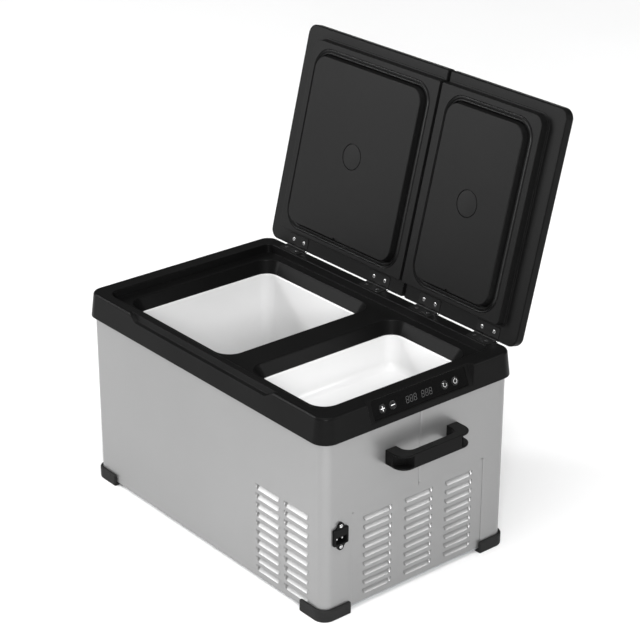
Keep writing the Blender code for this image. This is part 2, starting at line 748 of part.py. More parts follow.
# Control panel: a slanting face in the frame's right end, with a fascia, four buttons and their board
CONTROL_RUN = CONTROL_INSET + RIM_DRAFT * CONTROL_LOW / RIM_HEIGHT
CONTROL_TURN = atan2(CONTROL_RUN, CONTROL_LOW)
CONTROL_X = RIM_X - CONTROL_INSET + CONTROL_RUN / 2
CONTROL = frame_empty("control_face", COOLER, (CONTROL_X, 0, RIM_TOP - CONTROL_LOW / 2), (0, -CONTROL_TURN, 0))
FASCIA_BACK = -FASCIA - FASCIA_DROP
BOARD_FACE = -CONTROL_POCKET + FIT + BOARD


def upright(points, x):
    """An outline given along the panel and up its slope, at a depth x."""
    return [Vector((x, y, z)) for y, z in points]


def panel_slab(box, radius, x0, x1):
    points = corner_rect(box, radius, ROUND_STEPS)
    return loft([upright(points, x0), upright(points, x1)])


def pocket_box():
    half = FASCIA_LENGTH / 2 - CONTROL_POCKET_MARGIN
    return (-half, half, -CONTROL_POCKET_LOW, FASCIA_HEIGHT / 2 - CONTROL_POCKET_MARGIN)


def control_recess(rim):
    flared = CONTROL_HALF + CONTROL_REACH * CONTROL_FLARE
    face = upright(corner_rect(centred(2 * CONTROL_HALF, 2 * CONTROL_LOW), FIT, 1), 0)
    outside = upright(corner_rect(centred(2 * flared, 2 * CONTROL_LOW), FIT, 1), CONTROL_REACH)
    cut(rim, "control_face_cut", loft([face, outside]), CONTROL)
    seat = grown(centred(FASCIA_LENGTH, FASCIA_HEIGHT), FIT)
    cut(rim, "fascia_seat", panel_slab(seat, FASCIA_CORNER, FASCIA_BACK - FIT, CONTROL_REACH), CONTROL)
    cut(rim, "control_pocket", panel_slab(pocket_box(), FASCIA_CORNER, -CONTROL_POCKET, 0), CONTROL)


def control_panel():
    glass = panel_slab(centred(FASCIA_LENGTH, FASCIA_HEIGHT), FASCIA_CORNER, FASCIA_BACK, -FASCIA_DROP)
    fascia = part("control_fascia", glass, GLOSS, CONTROL)
    for name, y in (("plus", PLUS_Y), ("minus", MINUS_Y), ("set", SET_Y), ("power", POWER_Y)):
        mount = frame_empty(f"button_{name}_axis", CONTROL, (0, y, BUTTON_LIFT))
        hole = rod(BUTTON_RADIUS + BUTTON_CLEARANCE, -CONTROL_POCKET, CONTROL_POCKET, "X")
        cut(fascia, f"button_{name}_hole", hole, mount)
        cap = part(f"button_{name}", rod(BUTTON_RADIUS, FASCIA_BACK, BUTTON_PROUD - FASCIA_DROP, "X"), GLOSS, mount)
        stem = rod(BUTTON_STEM, BOARD_FACE + BUTTON_TRAVEL + FIT, FASCIA_BACK + FASCIA / 2, "X", STEM_SIDES)
        join(cap, f"button_{name}_stem", stem)
    window = centred(DISPLAY_LENGTH, DISPLAY_HEIGHT, DISPLAY_Y, BUTTON_LIFT)
    display = panel_slab(window, FASCIA_CORNER / 4, BOARD_FACE + FIT, FASCIA_BACK - FIT)
    part("display_module", display, GLOSS, CONTROL)
    board = panel_slab(grown(pocket_box(), -FIT), FASCIA_CORNER, -CONTROL_POCKET + FIT, BOARD_FACE)
    part("control_board", board, CIRCUIT, CONTROL)


# Liner: one white moulding with a deep well and a shallow one over the machine bay
def well_box(well, floor, z, by=0.0):
    """The well's inner outline at a height, drawn in by its draft towards the floor and grown by an offset."""
    share = (LIP_Z - z) / (LIP_Z - floor)
    return grown(well, by - WELL_DRAFT * share)


def well_inside(well, floor):
    """The space in a well: rounded at the floor, drafted up the walls and eased at the lip."""
    rings = []
    for raised, drawn_in in quarter_round():
        z = floor + WELL_FLOOR_ROUND * raised
        inset = WELL_FLOOR_ROUND * (1 - drawn_in)
        rings.append(ring(well_box(well, floor, z, -inset), WELL_CORNER - inset, z))
    rings.append(ring(well, WELL_CORNER, LIP_Z - LIP_ROUND))
    flare = LIP_ROUND + FIT
    rings.append(ring(grown(well, flare), WELL_CORNER + flare, LIP_Z + FIT))
    return loft(rings)


def well_outside(well, floor, by, top):
    """A well's outer form, offset from its inside."""
    return loft([ring(well_box(well, floor, z, by), WELL_CORNER + by, z) for z in (floor - by, top)])


WELLS = (("deep", DEEP_WELL, DEEP_FLOOR), ("shallow", SHALLOW_WELL, SHALLOW_FLOOR))


def inner_liner():
    flange = grown((-INSIDE_X, INSIDE_X, -INSIDE_Y, INSIDE_Y), -FIT)
    liner = part("inner_liner", slab(flange, BODY_CORNER - SHEET - FIT, LIP_Z - LINER, LIP_Z), WHITE)
    for name, well, floor in WELLS:
        join(liner, name + "_well", well_outside(well, floor, LINER, LIP_Z - LINER / 2))
    for name, well, floor in WELLS:
        cut(liner, name + "_hollow", well_inside(well, floor))


def insulation():
    inside = grown((-INSIDE_X, INSIDE_X, -INSIDE_Y, INSIDE_Y), -FIT)
    top = LIP_Z - LINER - FIT
    foam = part("insulation", slab(inside, BODY_CORNER - SHEET - FIT, BASE_TOP + FIT, top), FOAM)
    cut(foam, "machine_bay", block(BAY_X, HALF_X, -HALF_Y, HALF_Y, 0, BAY_TOP))
    for name, well, floor in WELLS:
        cut(foam, name + "_foam_hollow", well_outside(well, floor, LINER + FIT, RIM_TOP))
    wrap = LINER + EVAPORATOR + 2 * FIT
    space = [ring(well_box(DEEP_WELL, DEEP_FLOOR, z, wrap), WELL_CORNER + wrap, z)
             for z in (EVAPORATOR_LOW - FIT, EVAPORATOR_HIGH + FIT)]
    cut(foam, "evaporator_space", loft(space))
    half = SEAM_GAP / 2 + SHEET + FIT
    cut(foam, "seam_space", block(HALF_X - RETURN_DEPTH - FIT, HALF_X, SEAM_Y - half, SEAM_Y + half,
                                  0, RIM_BOTTOM + FIT))


def evaporator():
    inner = LINER + FIT
    outer = inner + EVAPORATOR
    section = ((inner, EVAPORATOR_LOW), (outer, EVAPORATOR_LOW), (outer, EVAPORATOR_HIGH), (inner, EVAPORATOR_HIGH))
    rings = [ring(well_box(DEEP_WELL, DEEP_FLOOR, z, by), WELL_CORNER + by, z) for by, z in section]
    part("evaporator_plate", loft(rings, ring_shape=True), ALUMINIUM)


# Machine bay: compressor on its bracket, condenser, fan and driver board
BAY_CENTRE = (BAY_X + INSIDE_X) / 2


def compressor():
    foot_z = BASE_TOP + FIT
    deck = foot_z + MOUNT_HEIGHT
    place = frame_empty("compressor_place", COOLER, (BAY_CENTRE, COMPRESSOR_Y, 0))
    plate = slab(centred(BRACKET_LENGTH, BRACKET_WIDTH), MOUNT_RADIUS, deck, deck + BRACKET)
    bracket = part("compressor_bracket", plate, BLACK_STEEL, place)
    mounts = []
    for x in (MOUNT_RADIUS - BRACKET_LENGTH / 2, BRACKET_LENGTH / 2 - MOUNT_RADIUS):
        for y in (MOUNT_RADIUS - BRACKET_WIDTH / 2, BRACKET_WIDTH / 2 - MOUNT_RADIUS):
            mounts.append(moved(rod(MOUNT_RADIUS - FIT, foot_z, deck + BRACKET / 2, sides=MOUNT_SIDES), x, y))
    join(bracket, "bracket_mounts", merged(mounts))
    seat = deck + BRACKET + FIT
    top = seat + COMPRESSOR_HEIGHT
    rounds = COMPRESSOR_ROUND
    belt = seat + COMPRESSOR_HEIGHT * COMPRESSOR_BELT
    wide = COMPRESSOR_RADIUS + COMPRESSOR_WELD
    profile = [(0.0, top)]
    profile += arc((COMPRESSOR_RADIUS - rounds, top - rounds), rounds, pi / 2, 0, ROUND_STEPS)
    profile += [(COMPRESSOR_RADIUS, belt + 2 * COMPRESSOR_WELD), (wide, belt + COMPRESSOR_WELD)]
    profile += [(wide, belt - COMPRESSOR_WELD), (COMPRESSOR_RADIUS, belt - 2 * COMPRESSOR_WELD)]
    profile += arc((COMPRESSOR_RADIUS - rounds, seat + rounds), rounds, 0, -pi / 2, ROUND_STEPS)
    profile += [(0.0, seat)]
    part("compressor", turned(profile, COMPRESSOR_SIDES), ENAMEL, place)


def fan():
    place = frame_empty("fan_axis", COOLER, (BAY_CENTRE, FAN_Y, BASE_TOP + FIT + FAN_SIZE / 2))
    back = FAN_DEPTH / 2
    points = corner_rect(centred(FAN_SIZE, FAN_SIZE), FAN_CORNER, 2)
    case = loft([[Vector((x, y, z)) for x, z in points] for y in (back, -back)])
    housing = part("fan_housing", case, BLACK, place)
    cut(housing, "fan_bore", rod(FAN_BORE, -back - FIT, back - FAN_BACK, "Y", FAN_SIDES))
    openings = []
    for quarter in range(4):
        start = quarter * pi / 2
        end = start + pi / 2
        near = asin(FAN_STRUT / 2 / FAN_HUB)
        far = asin(FAN_STRUT / 2 / FAN_BORE)
        outline = arc((0, 0), FAN_BORE - FAN_TIP_GAP, start + far, end - far)
        outline += arc((0, 0), FAN_HUB, end - near, start + near, ROUND_STEPS)
        opening = plate_curve(outline, FAN_BACK)
        opening.transform(Matrix.Rotation(pi / 2, 4, "X"))
        openings.append(moved(opening, y=back - FAN_BACK / 2))
    cut(housing, "fan_openings", merged(openings))
    join(housing, "fan_spindle", rod(FAN_SHAFT, -back + FAN_BACK, back - FAN_BACK / 2, "Y", PIN_SIDES))
    rotor_back = back - FAN_BACK - FIT
    rotor_front = -back + FIT
    rotor = part("fan_rotor", rod(FAN_HUB, rotor_front, rotor_back, "Y", FAN_SIDES), BLACK, place)
    blades = []
    for blade in range(FAN_BLADES):
        vane = block(FAN_HUB - FAN_BACK, FAN_BORE - FAN_TIP_GAP, -FAN_CHORD / 2, FAN_CHORD / 2,
                     -FAN_BLADE / 2, FAN_BLADE / 2)
        vane.transform(Matrix.Rotation(FAN_PITCH, 4, "X"))
        vane.transform(Matrix.Rotation(2 * pi * blade / FAN_BLADES, 4, "Y"))
        blades.append(vane)
    join(rotor, "fan_blades", merged(blades))
    bore = rod(FAN_SHAFT + RUNNING_GAP, rotor_front + FAN_BACK - 2 * FIT, back, "Y", PIN_SIDES)
    cut(rotor, "rotor_bore", bore)


def condenser():
    low = BASE_TOP + FIT
    high = low + CONDENSER_HEIGHT
    near = FAN_Y - FAN_DEPTH / 2 - FIT
    far = near - CONDENSER_DEPTH
    x0 = BAY_CENTRE - CONDENSER_LENGTH / 2
    pitch = (CONDENSER_LENGTH - CONDENSER_FIN) / (CONDENSER_FINS - 1)
    starts = [x0 + i * pitch for i in range(CONDENSER_FINS)]
    fins = [block(start, start + CONDENSER_FIN, far, near, low, high) for start in starts]
    coil = part("condenser", fins[0], ALUMINIUM)
    join(coil, "condenser_fins", merged(fins[1:]))
    tubes = []
    for row in range(CONDENSER_ROWS):
        tube = rod(CONDENSER_TUBE, x0 - CONDENSER_TUBE, x0 + CONDENSER_LENGTH + CONDENSER_TUBE, "X", TUBE_SIDES)
        tubes.append(moved(tube, 0, (near + far) / 2, low + CONDENSER_HEIGHT * (row + 1) / (CONDENSER_ROWS + 1)))
    join(coil, "condenser_tubes", merged(tubes))


def driver_board():
    x0 = BAY_X + FIT
    face = x0 + BOARD
    y0 = BOARD_Y - BOARD_WIDTH / 2
    high = BOARD_LOW + BOARD_HEIGHT
    board = part("driver_board", block(x0, face, y0, y0 + BOARD_WIDTH, BOARD_LOW, high), CIRCUIT)
    pitch = SINK_WIDTH / SINK_FINS
    first = y0 + BOARD
    root = face + SINK_DEPTH / 3
    join(board, "heat_sink", block(x0 + BOARD / 2, root, first, first + SINK_WIDTH, BOARD_LOW + BOARD, high - BOARD))
    vanes = [block(face, face + SINK_DEPTH, first + i * pitch, first + (i + 0.5) * pitch,
                   BOARD_LOW + 2 * BOARD, high - 2 * BOARD) for i in range(SINK_FINS)]
    join(board, "heat_sink_fins", merged(vanes))


# Power inlet: a two-pin socket in the right end, its flange held by two screwed ears
def power_inlet():
    place = frame_empty("inlet_place", COOLER, (HALF_X, INLET_Y, INLET_Z))
    face = INLET_FLANGE + FIT
    flange = centred(INLET_WIDTH, INLET_HEIGHT)
    rings = []
    for by, x in ((0, FIT), (0, face - INLET_BEVEL), (-INLET_BEVEL, face)):
        rings.append(upright(corner_rect(grown(flange, by), INLET_CORNER + by, 2), x))
    inlet = part("power_inlet", loft(rings), BLACK, place)
    shoulder = INLET_HEIGHT / 2 - INLET_BEVEL
    for side in (-1, 1):
        outline = [(side * INLET_EAR_FOOT, side * shoulder)]
        outline += [(side * y, side * z) for y, z in arc((0, INLET_EAR_STEP), INLET_EAR, 0, pi)]
        outline += [(-side * INLET_EAR_FOOT, side * shoulder)]
        ear = loft([upright(outline, x) for x in (FIT, FIT + INLET_EAR_THICKNESS)])
        join(inlet, f"inlet_ear_{side}", ear)
    body = centred(INLET_BODY_WIDTH, INLET_BODY_HEIGHT)
    join(inlet, "inlet_body", panel_slab(body, INLET_BEVEL, -INLET_BODY_DEPTH, face / 2))
    socket = centred(INLET_SOCKET_WIDTH, INLET_SOCKET_HEIGHT, 0, -INLET_SOCKET_DROP)
    floor = face - INLET_SOCKET_DEPTH
    cut(inlet, "inlet_socket", panel_slab(socket, INLET_BEVEL, floor, face + FIT))
    for sign, name in ((-1, "negative"), (1, "positive")):
        y = sign * INLET_PIN_STEP / 2
        hole = rod(INLET_PIN_RADIUS + RUNNING_GAP, floor - INLET_PIN_SEAT, floor + FIT, "X", PIN_SIDES)
        cut(inlet, f"inlet_pin_hole_{name}", moved(hole, 0, y, -INLET_SOCKET_DROP))
        pin = rod(INLET_PIN_RADIUS, floor - INLET_PIN_SEAT + FIT, face - INLET_FLANGE, "X", PIN_SIDES)
        part(f"inlet_pin_{name}", moved(pin, 0, y, -INLET_SOCKET_DROP), STEEL, place)


# Handles: moulded bows, one on each end, with open pockets in their outer bends
def handle(name, end):
    turn = 0 if end > 0 else pi
    place = frame_empty(name + "_place", COOLER, (end * (HALF_X + FIT), HANDLE_Y, HANDLE_Z), (0, 0, turn))
    half = HANDLE_LENGTH / 2
    outer = HANDLE_OUT
    bend = HANDLE_OUTER_BEND
    inner = HANDLE_INNER_BEND
    post = half - HANDLE_POST
    grip = outer - HANDLE_GRIP
    outline = [(0, -half)]
    outline += arc((outer - bend, -half + bend), bend, -pi / 2, 0)
    outline += arc((outer - bend, half - bend), bend, 0, pi / 2)
    outline += [(0, half), (0, post)]
    outline += arc((grip - inner, post - inner), inner, pi / 2, 0)
    outline += arc((grip - inner, -post + inner), inner, 0, -pi / 2)
    outline += [(0, -post)]
    bow = part(name, plate_curve(outline, HANDLE_HEIGHT / 2), BLACK, place)
    slot = HANDLE_HEIGHT / 2 - HANDLE_FLANGE
    near = outer - bend - HANDLE_POCKET_RUN
    floor = outer - HANDLE_POCKET
    for side in (-1, 1):
        reach = [(outer - HANDLE_POCKET_RUN, -bend - HANDLE_POCKET / 2), (outer + bend, -bend - HANDLE_POCKET / 2),
                 (outer + bend, bend), (near, bend), (near, -HANDLE_POCKET / 2), (floor, -HANDLE_POCKET)]
        pocket = [(x, side * (half + y)) for x, y in reach]
        cut(bow, f"{name}_pocket_{side}", plate_curve(pocket, slot))


# Hinges: black butt hinges, rim leaf with two end knuckles, lid leaf with the middle one, and a steel pin
def hinge(lid_name, index, x, lid_axis):
    third = HINGE_LENGTH / 3
    half = HINGE_LENGTH / 2
    web = third / 2
    label = f"{lid_name}_hinge_{index + 1}"
    base = frame_empty(label, COOLER, (x, AXIS_Y, AXIS_Z))
    bore = PIN_RADIUS + RUNNING_GAP
    seat = -LEAF_SEAT + FIT
    leaf = part(label + "_rim_leaf", block(-half, half, -LEAF_DEPTH, 0, seat, seat + LEAF), BLACK_STEEL, base)
    cut(leaf, label + "_gap", block(-web - KNUCKLE_GAP, web + KNUCKLE_GAP, -BARREL_RADIUS - 2 * KNUCKLE_GAP,
                                    BARREL_RADIUS * 2, -BARREL_RADIUS, BARREL_RADIUS))
    for side in (-1, 1):
        low, high = sorted((side * (web + KNUCKLE_GAP), side * half))
        join(leaf, f"{label}_rim_knuckle_{side}", rod(BARREL_RADIUS, low, high, "X", PIN_SIDES))
    cut(leaf, label + "_rim_bore", rod(bore, -half - FIT, half + FIT, "X", PIN_SIDES))
    pin = part(label + "_pin", rod(PIN_RADIUS, -half, half + FIT * 2, "X", PIN_SIDES), STEEL, base)
    join(pin, label + "_pin_head", rod(PIN_HEAD, half + FIT, half + PIN_HEAD, "X", PIN_SIDES))
    moving = frame_empty(label + "_lid_side", lid_axis, (x, 0, 0))
    face = LID_GAP + LEAF_SEAT - FIT
    plate = block(-half, half, -LEAF_DEPTH, -BARREL_RADIUS / 2, face - LEAF, face)
    upper = part(label + "_lid_leaf", plate, BLACK_STEEL, moving)
    for side in (-1, 1):
        low, high = sorted((side * web, side * (half + FIT)))
        cut(upper, f"{label}_clear_{side}", rod(BARREL_RADIUS + KNUCKLE_GAP, low, high, "X", PIN_SIDES))
    join(upper, label + "_web", block(-web, web, -BARREL_RADIUS, 0, 0, face))
    join(upper, label + "_lid_knuckle", rod(BARREL_RADIUS, -web, web, "X", PIN_SIDES))
    cut(upper, label + "_lid_bore", rod(bore, -half, half, "X", PIN_SIDES))


# Lids: a moulded cover, a lining with a raised frame and a central panel, a seal, a plug and foam
def lid(name, x0, x1, split_side):
    axis = frame_empty(name + "_axis", COOLER, (0, AXIS_Y, AXIS_Z), (-LID_OPEN, 0, 0))
    outline = (x0, x1, LID_FRONT - AXIS_Y, -LID_BACK)
    plane = LID_GAP
    top = plane + LID_THICKNESS
    ends = (LID_CORNER, LID_SPLIT_CORNER) if split_side < 0 else (LID_SPLIT_CORNER, LID_CORNER)
    radii = (ends[0], ends[1], ends[1], ends[0])
    inside = LID_RIM + LID_SKIN

    def lid_ring(by, z):
        return ring(grown(outline, by), [max(radius + by, LID_LEAST_CORNER) for radius in radii], z)

    def lid_slab(by, z0, z1):
        return loft([lid_ring(by, z0), lid_ring(by, z1)])

    rings = [lid_ring(-LID_EASE, plane), lid_ring(0, plane + LID_EASE)]
    for drawn_in, raised in quarter_round():
        rings.append(lid_ring(-LID_ROUND * drawn_in, top - LID_ROUND + LID_ROUND * raised))
    cover = part(name + "_cover", loft(rings), BLACK, axis)
    cut(cover, name + "_rabbet", lid_slab(-LID_RIM, plane - FIT, plane + PANEL_SHEET + FIT))
    cut(cover, name + "_hollow", lid_slab(-inside, plane, top - LID_SKIN))

    foot_box = (max(x0 + FRAME_SPLIT, RECESS[0] + FRAME_CLEARANCE),
                min(x1 - FRAME_SPLIT, RECESS[1] - FRAME_CLEARANCE),
                RECESS[2] + FRAME_CLEARANCE - AXIS_Y, RECESS[3] - FRAME_CLEARANCE - AXIS_Y)
    face_z = plane - FRAME_HEIGHT
    draft = RECESS_DRAFT * FRAME_HEIGHT / RECESS_DEPTH
    frame_face = grown(foot_box, -draft)
    lining = part(name + "_lining", lid_slab(-LID_RIM - FIT, plane, plane + PANEL_SHEET), CHARCOAL, axis)
    frame = loft([ring(frame_face, FRAME_CORNER, face_z),
                  ring(foot_box, FRAME_CORNER + draft, plane + PANEL_SHEET / 2)])
    join(lining, name + "_frame", frame)
    margins = [GROOVE_MARGIN, GROOVE_MARGIN]
    margins[0 if split_side < 0 else 1] = SPLIT_MARGIN
    groove = (frame_face[0] + margins[0], frame_face[1] - margins[1],
              frame_face[2] + GROOVE_MARGIN, frame_face[3] - GROOVE_MARGIN)
    groove_floor = face_z + GROOVE_DEPTH
    corner = CENTRE_CORNER + GROOVE_WIDTH
    centre_z = face_z - CENTRE_HEIGHT
    pocket_floor = groove_floor + PANEL_SHEET
    cut(lining, name + "_groove", slab(groove, corner, centre_z, groove_floor))
    centre_foot = grown(groove, -GROOVE_WIDTH)
    centre = loft([ring(grown(centre_foot, -CENTRE_DRAFT), CENTRE_CORNER - CENTRE_DRAFT, centre_z),
                   ring(centre_foot, CENTRE_CORNER, pocket_floor)])
    join(lining, name + "_centre", centre)
    pocket = grown(groove, GROOVE_MARGIN / 2)
    cut(lining, name + "_pocket", slab(pocket, corner, pocket_floor, plane + PANEL_SHEET + FIT))

    x_mid = (centre_foot[0] + centre_foot[1]) / 2
    y_mid = (centre_foot[2] + centre_foot[3]) / 2
    shank = PLUG_RADIUS - PLUG_STEP
    seat = rod(PLUG_RADIUS + FIT, centre_z - FIT, centre_z + PLUG_HEAD + FIT)
    cut(lining, name + "_plug_seat", moved(seat, x_mid, y_mid))
    cut(lining, name + "_plug_hole", moved(rod(shank + FIT, centre_z, plane), x_mid, y_mid))
    notch = block(x_mid - NOTCH_LENGTH / 2, x_mid + NOTCH_LENGTH / 2,
                  centre_foot[3] - NOTCH_WIDTH, centre_foot[3] + CENTRE_DRAFT, centre_z - FIT, face_z)
    cut(lining, name + "_notch", notch)
    for index, x in enumerate(HINGE_X[name]):
        half = HINGE_LENGTH / 2 + FIT
        for piece, of in ((lining, "lining"), (cover, "cover")):
            leaf_seat = block(x - half, x + half, -LEAF_DEPTH - FIT, BARREL_RADIUS, -LID_GAP, plane + LEAF_SEAT)
            cut(piece, f"{name}_{of}_seat_{index}", leaf_seat)

    plug_head = moved(rod(PLUG_RADIUS, centre_z, centre_z + PLUG_HEAD), x_mid, y_mid)
    plug = part(name + "_plug", plug_head, CHARCOAL, axis)
    plug_shank = rod(shank, centre_z + PLUG_HEAD / 2, pocket_floor - FIT)
    join(plug, name + "_plug_shank", moved(plug_shank, x_mid, y_mid))
    seal(name, axis, groove, corner, groove_floor)
    foam_top = top - LID_SKIN - FIT
    foam = part(name + "_foam", lid_slab(-inside - FIT, plane + PANEL_SHEET + 2 * FIT, foam_top), FOAM, axis)
    core = slab(grown(pocket, -FIT), corner, pocket_floor + FIT, foam_top - LID_SKIN)
    join(foam, name + "_foam_core", core)
    for index, x in enumerate(HINGE_X[name]):
        hinge(name, index, x, axis)


def seal(name, axis, groove, corner, groove_floor):
    """A soft bellows seal in the groove, tall enough to meet the ledge of the top frame."""
    bottom = groove_floor - FIT
    tip = LEDGE_Z - AXIS_Z + GASKET_SQUEEZE_GAP
    width = GROOVE_WIDTH - 2 * GASKET_CLEARANCE
    height = bottom - tip
    rings = []
    for across, up in GASKET_SECTION:
        inset = GASKET_CLEARANCE + across * width
        rings.append(ring(grown(groove, -inset), corner - inset, bottom - up * height))
    part(name + "_seal", loft(rings, ring_shape=True), RUBBER, axis)


outer_shell()
access_panel()
base_pan()
feet()
top_frame()
inner_liner()
insulation()
evaporator()
compressor()
fan()
condenser()
driver_board()
control_panel()
power_inlet()
handle("right_handle", 1)
handle("left_handle", -1)
lid("left_lid", -LID_END, BRIDGE_CENTRE - LID_SPLIT / 2, 1)
lid("right_lid", BRIDGE_CENTRE + LID_SPLIT / 2, LID_END, -1)


# Every part is evaluated once and its edges are marked, so that flat faces stay flat beside rounded ones
bpy.context.view_layer.update()
depsgraph = bpy.context.evaluated_depsgraph_get()
pieces = [made for made in PARTS.objects if made.type == "MESH"]
settled = [bpy.data.meshes.new_from_object(made.evaluated_get(depsgraph)) for made in pieces]
for made, mesh in zip(pieces, settled):
    made.modifiers.clear()
    made.data = mesh
    mesh.name = made.name
    mesh.shade_smooth()
    mesh.set_sharp_from_angle(angle=SHARP_ANGLE)
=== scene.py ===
from math import cos, pi, radians, sin

import bmesh
import bpy
from mathutils import Matrix, Vector


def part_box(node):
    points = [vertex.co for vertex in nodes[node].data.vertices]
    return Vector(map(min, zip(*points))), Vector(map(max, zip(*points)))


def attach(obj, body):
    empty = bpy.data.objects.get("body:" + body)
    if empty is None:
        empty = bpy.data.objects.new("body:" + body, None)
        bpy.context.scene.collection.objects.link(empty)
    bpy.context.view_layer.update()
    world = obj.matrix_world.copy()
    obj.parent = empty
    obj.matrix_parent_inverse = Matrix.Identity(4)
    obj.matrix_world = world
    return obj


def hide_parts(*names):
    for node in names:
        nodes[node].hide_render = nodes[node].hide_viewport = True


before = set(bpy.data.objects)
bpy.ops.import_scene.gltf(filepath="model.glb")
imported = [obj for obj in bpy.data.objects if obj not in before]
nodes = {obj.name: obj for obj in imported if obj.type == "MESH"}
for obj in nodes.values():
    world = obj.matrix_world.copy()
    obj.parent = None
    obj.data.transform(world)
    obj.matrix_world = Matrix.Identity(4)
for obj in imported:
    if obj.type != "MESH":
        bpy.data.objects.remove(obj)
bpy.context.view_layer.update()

scene = bpy.context.scene


# Outer shell: one steel sheet in satin silver-grey paint, wrapped round the body. Its two ends are bent
# inwards and meet at the right end, above the opening for the access panel, which has bent sides too.
# Two columns of louvers are pressed into the front, each slit open along its upper edge.
shell_low, shell_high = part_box("outer_shell")
MID_Y = (shell_low.y + shell_high.y) / 2
BODY = Matrix.Translation((0, MID_Y, 0))
half_x = (shell_high.x - shell_low.x) / 2
half_y = (shell_high.y - shell_low.y) / 2
body_plan = (-half_x, half_x, -half_y, half_y)
body_corner = 0.015
corner_steps = 12
SHEET = 0.001
FIT = 0.0003
rim_bottom = 0.2828
panel_y = 0.0034
panel_half = 0.12575
panel_gap = 0.0005
opening = (panel_y - panel_half - panel_gap, panel_y + panel_half + panel_gap)
opening_low, opening_top = 0.0088, 0.160
relief = 0.0018
seam = (0.0012, 0.0018)
seam_foot = 0.1638
bends = {-1: 0.0007, 1: 0.0030}
return_depth = 0.0042
inlet_hole = (-0.1578, -0.1332, 0.1202, 0.1448)
louver_above = 0.0022
front_step, front_top = 0.0646, 0.1607
front_first = half_x - 0.0594 - front_step


def linked(name, data):
    """A new object of the scene."""
    made = bpy.data.objects.new(name, data)
    scene.collection.objects.link(made)
    return made


def new_tree(name, kind, inputs, outputs):
    """An empty node tree with named sockets, and the sockets that its nodes read from and fill."""
    tree = bpy.data.node_groups.new(name, kind)
    for way, sockets in (("INPUT", inputs), ("OUTPUT", outputs)):
        for label, holds in sockets.items():
            tree.interface.new_socket(label, in_out=way, socket_type="NodeSocket" + holds)
    return tree, tree.nodes.new("NodeGroupInput").outputs, tree.nodes.new("NodeGroupOutput").inputs


def with_values(node, values):
    """The node, with the values of its inputs set by name, where _ stands for a space."""
    for label, value in values.items():
        node.inputs[label.replace("_", " ")].default_value = value
    return node


def added(tree, kind, **values):
    return with_values(tree.nodes.new(kind), values)


def wire(tree, *pairs):
    for start, end in pairs:
        tree.links.new(start, end)


def tone_and_grain():
    """A slow change of tone and a fine grain over a surface, each from 0 to 1."""
    inputs = {"Tone Scale": "Float", "Grain Scale": "Float"}
    outputs = {"Tone": "Float", "Grain": "Float"}
    group, given, result = new_tree("tone_and_grain", "ShaderNodeTree", inputs, outputs)
    place = added(group, "ShaderNodeTexCoord").outputs["Object"]
    tone = added(group, "ShaderNodeTexNoise", Detail=4.0)
    spread = added(group, "ShaderNodeMapRange", From_Min=0.3, From_Max=0.7)
    grain = added(group, "ShaderNodeTexNoise", Detail=2.0, Roughness=0.55)
    wire(group, (place, tone.inputs["Vector"]), (place, grain.inputs["Vector"]),
         (given["Tone Scale"], tone.inputs["Scale"]), (given["Grain Scale"], grain.inputs["Scale"]),
         (tone.outputs["Fac"], spread.inputs["Value"]), (spread.outputs["Result"], result["Tone"]),
         (grain.outputs["Fac"], result["Grain"]))
    return group


TONE_AND_GRAIN = tone_and_grain()


def finish(name, dark, light, rough, grain, tone=6.0, height=0.00002, **constants):
    """A finish whose colour runs from dark to light with the tone, and whose gloss and relief follow the grain."""
    material = bpy.data.materials.new(name)
    material.use_nodes = True
    tree = material.node_tree
    shader = with_values(tree.nodes["Principled BSDF"], constants)
    surface = added(tree, "ShaderNodeGroup")
    surface.node_tree = TONE_AND_GRAIN
    with_values(surface, {"Tone Scale": tone, "Grain Scale": grain})
    colour = added(tree, "ShaderNodeMix")
    colour.data_type = "RGBA"
    with_values(colour, {"A": (*dark, 1), "B": (*light, 1)})
    gloss = added(tree, "ShaderNodeMapRange", From_Min=0.25, From_Max=0.75, To_Min=rough[0], To_Max=rough[1])
    bump = added(tree, "ShaderNodeBump", Distance=height)
    wire(tree, (surface.outputs["Tone"], colour.inputs["Factor"]), (surface.outputs["Grain"], gloss.inputs["Value"]),
         (surface.outputs["Grain"], bump.inputs["Height"]), (colour.outputs["Result"], shader.inputs["Base Color"]),
         (gloss.outputs["Result"], shader.inputs["Roughness"]), (bump.outputs["Normal"], shader.inputs["Normal"]))
    return material


def grey(value):
    return (value, value, value)


def baked(carrier):
    """The final mesh of an object that only carries it, and goes."""
    bpy.context.view_layer.update()
    result = bpy.data.meshes.new_from_object(carrier.evaluated_get(bpy.context.evaluated_depsgraph_get()))
    carrier.modifiers.clear()
    bpy.data.objects.remove(carrier, do_unlink=True)
    return result


def evaluated(mesh, *steps):
    """The mesh after modifiers, each given as its type and its settings."""
    carrier = linked("carrier", mesh)
    for kind, settings in steps:
        modifier = carrier.modifiers.new(kind, kind)
        for label, value in settings.items():
            setattr(modifier, label, value)
    return baked(carrier)


def shaded(mesh, angle=35):
    mesh.shade_smooth()
    mesh.set_sharp_from_angle(angle=radians(angle))
    return mesh


def place_piece(name, mesh, material, body, slot, *stands_for):
    """A finished piece on its body, with the CAD nodes that it stands for."""
    mesh.name = name
    mesh.materials.clear()
    mesh.materials.append(material)
    made = linked(name, mesh)
    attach(made, body)
    if stands_for:
        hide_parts(*stands_for)


def as_mesh(shape, name):
    """A built shape as a mesh of its own."""
    mesh = bpy.data.meshes.new(name)
    shape.to_mesh(mesh)
    shape.free()
    return mesh


def joined(*meshes):
    """Several meshes as one, with the points that they share merged."""
    shape = bmesh.new()
    for mesh in meshes:
        shape.from_mesh(mesh)
    bmesh.ops.remove_doubles(shape, verts=shape.verts, dist=0.00002)
    return as_mesh(shape, "joined")


def quarter_turn(steps):
    return [pi / 2 * step / steps for step in range(steps + 1)]


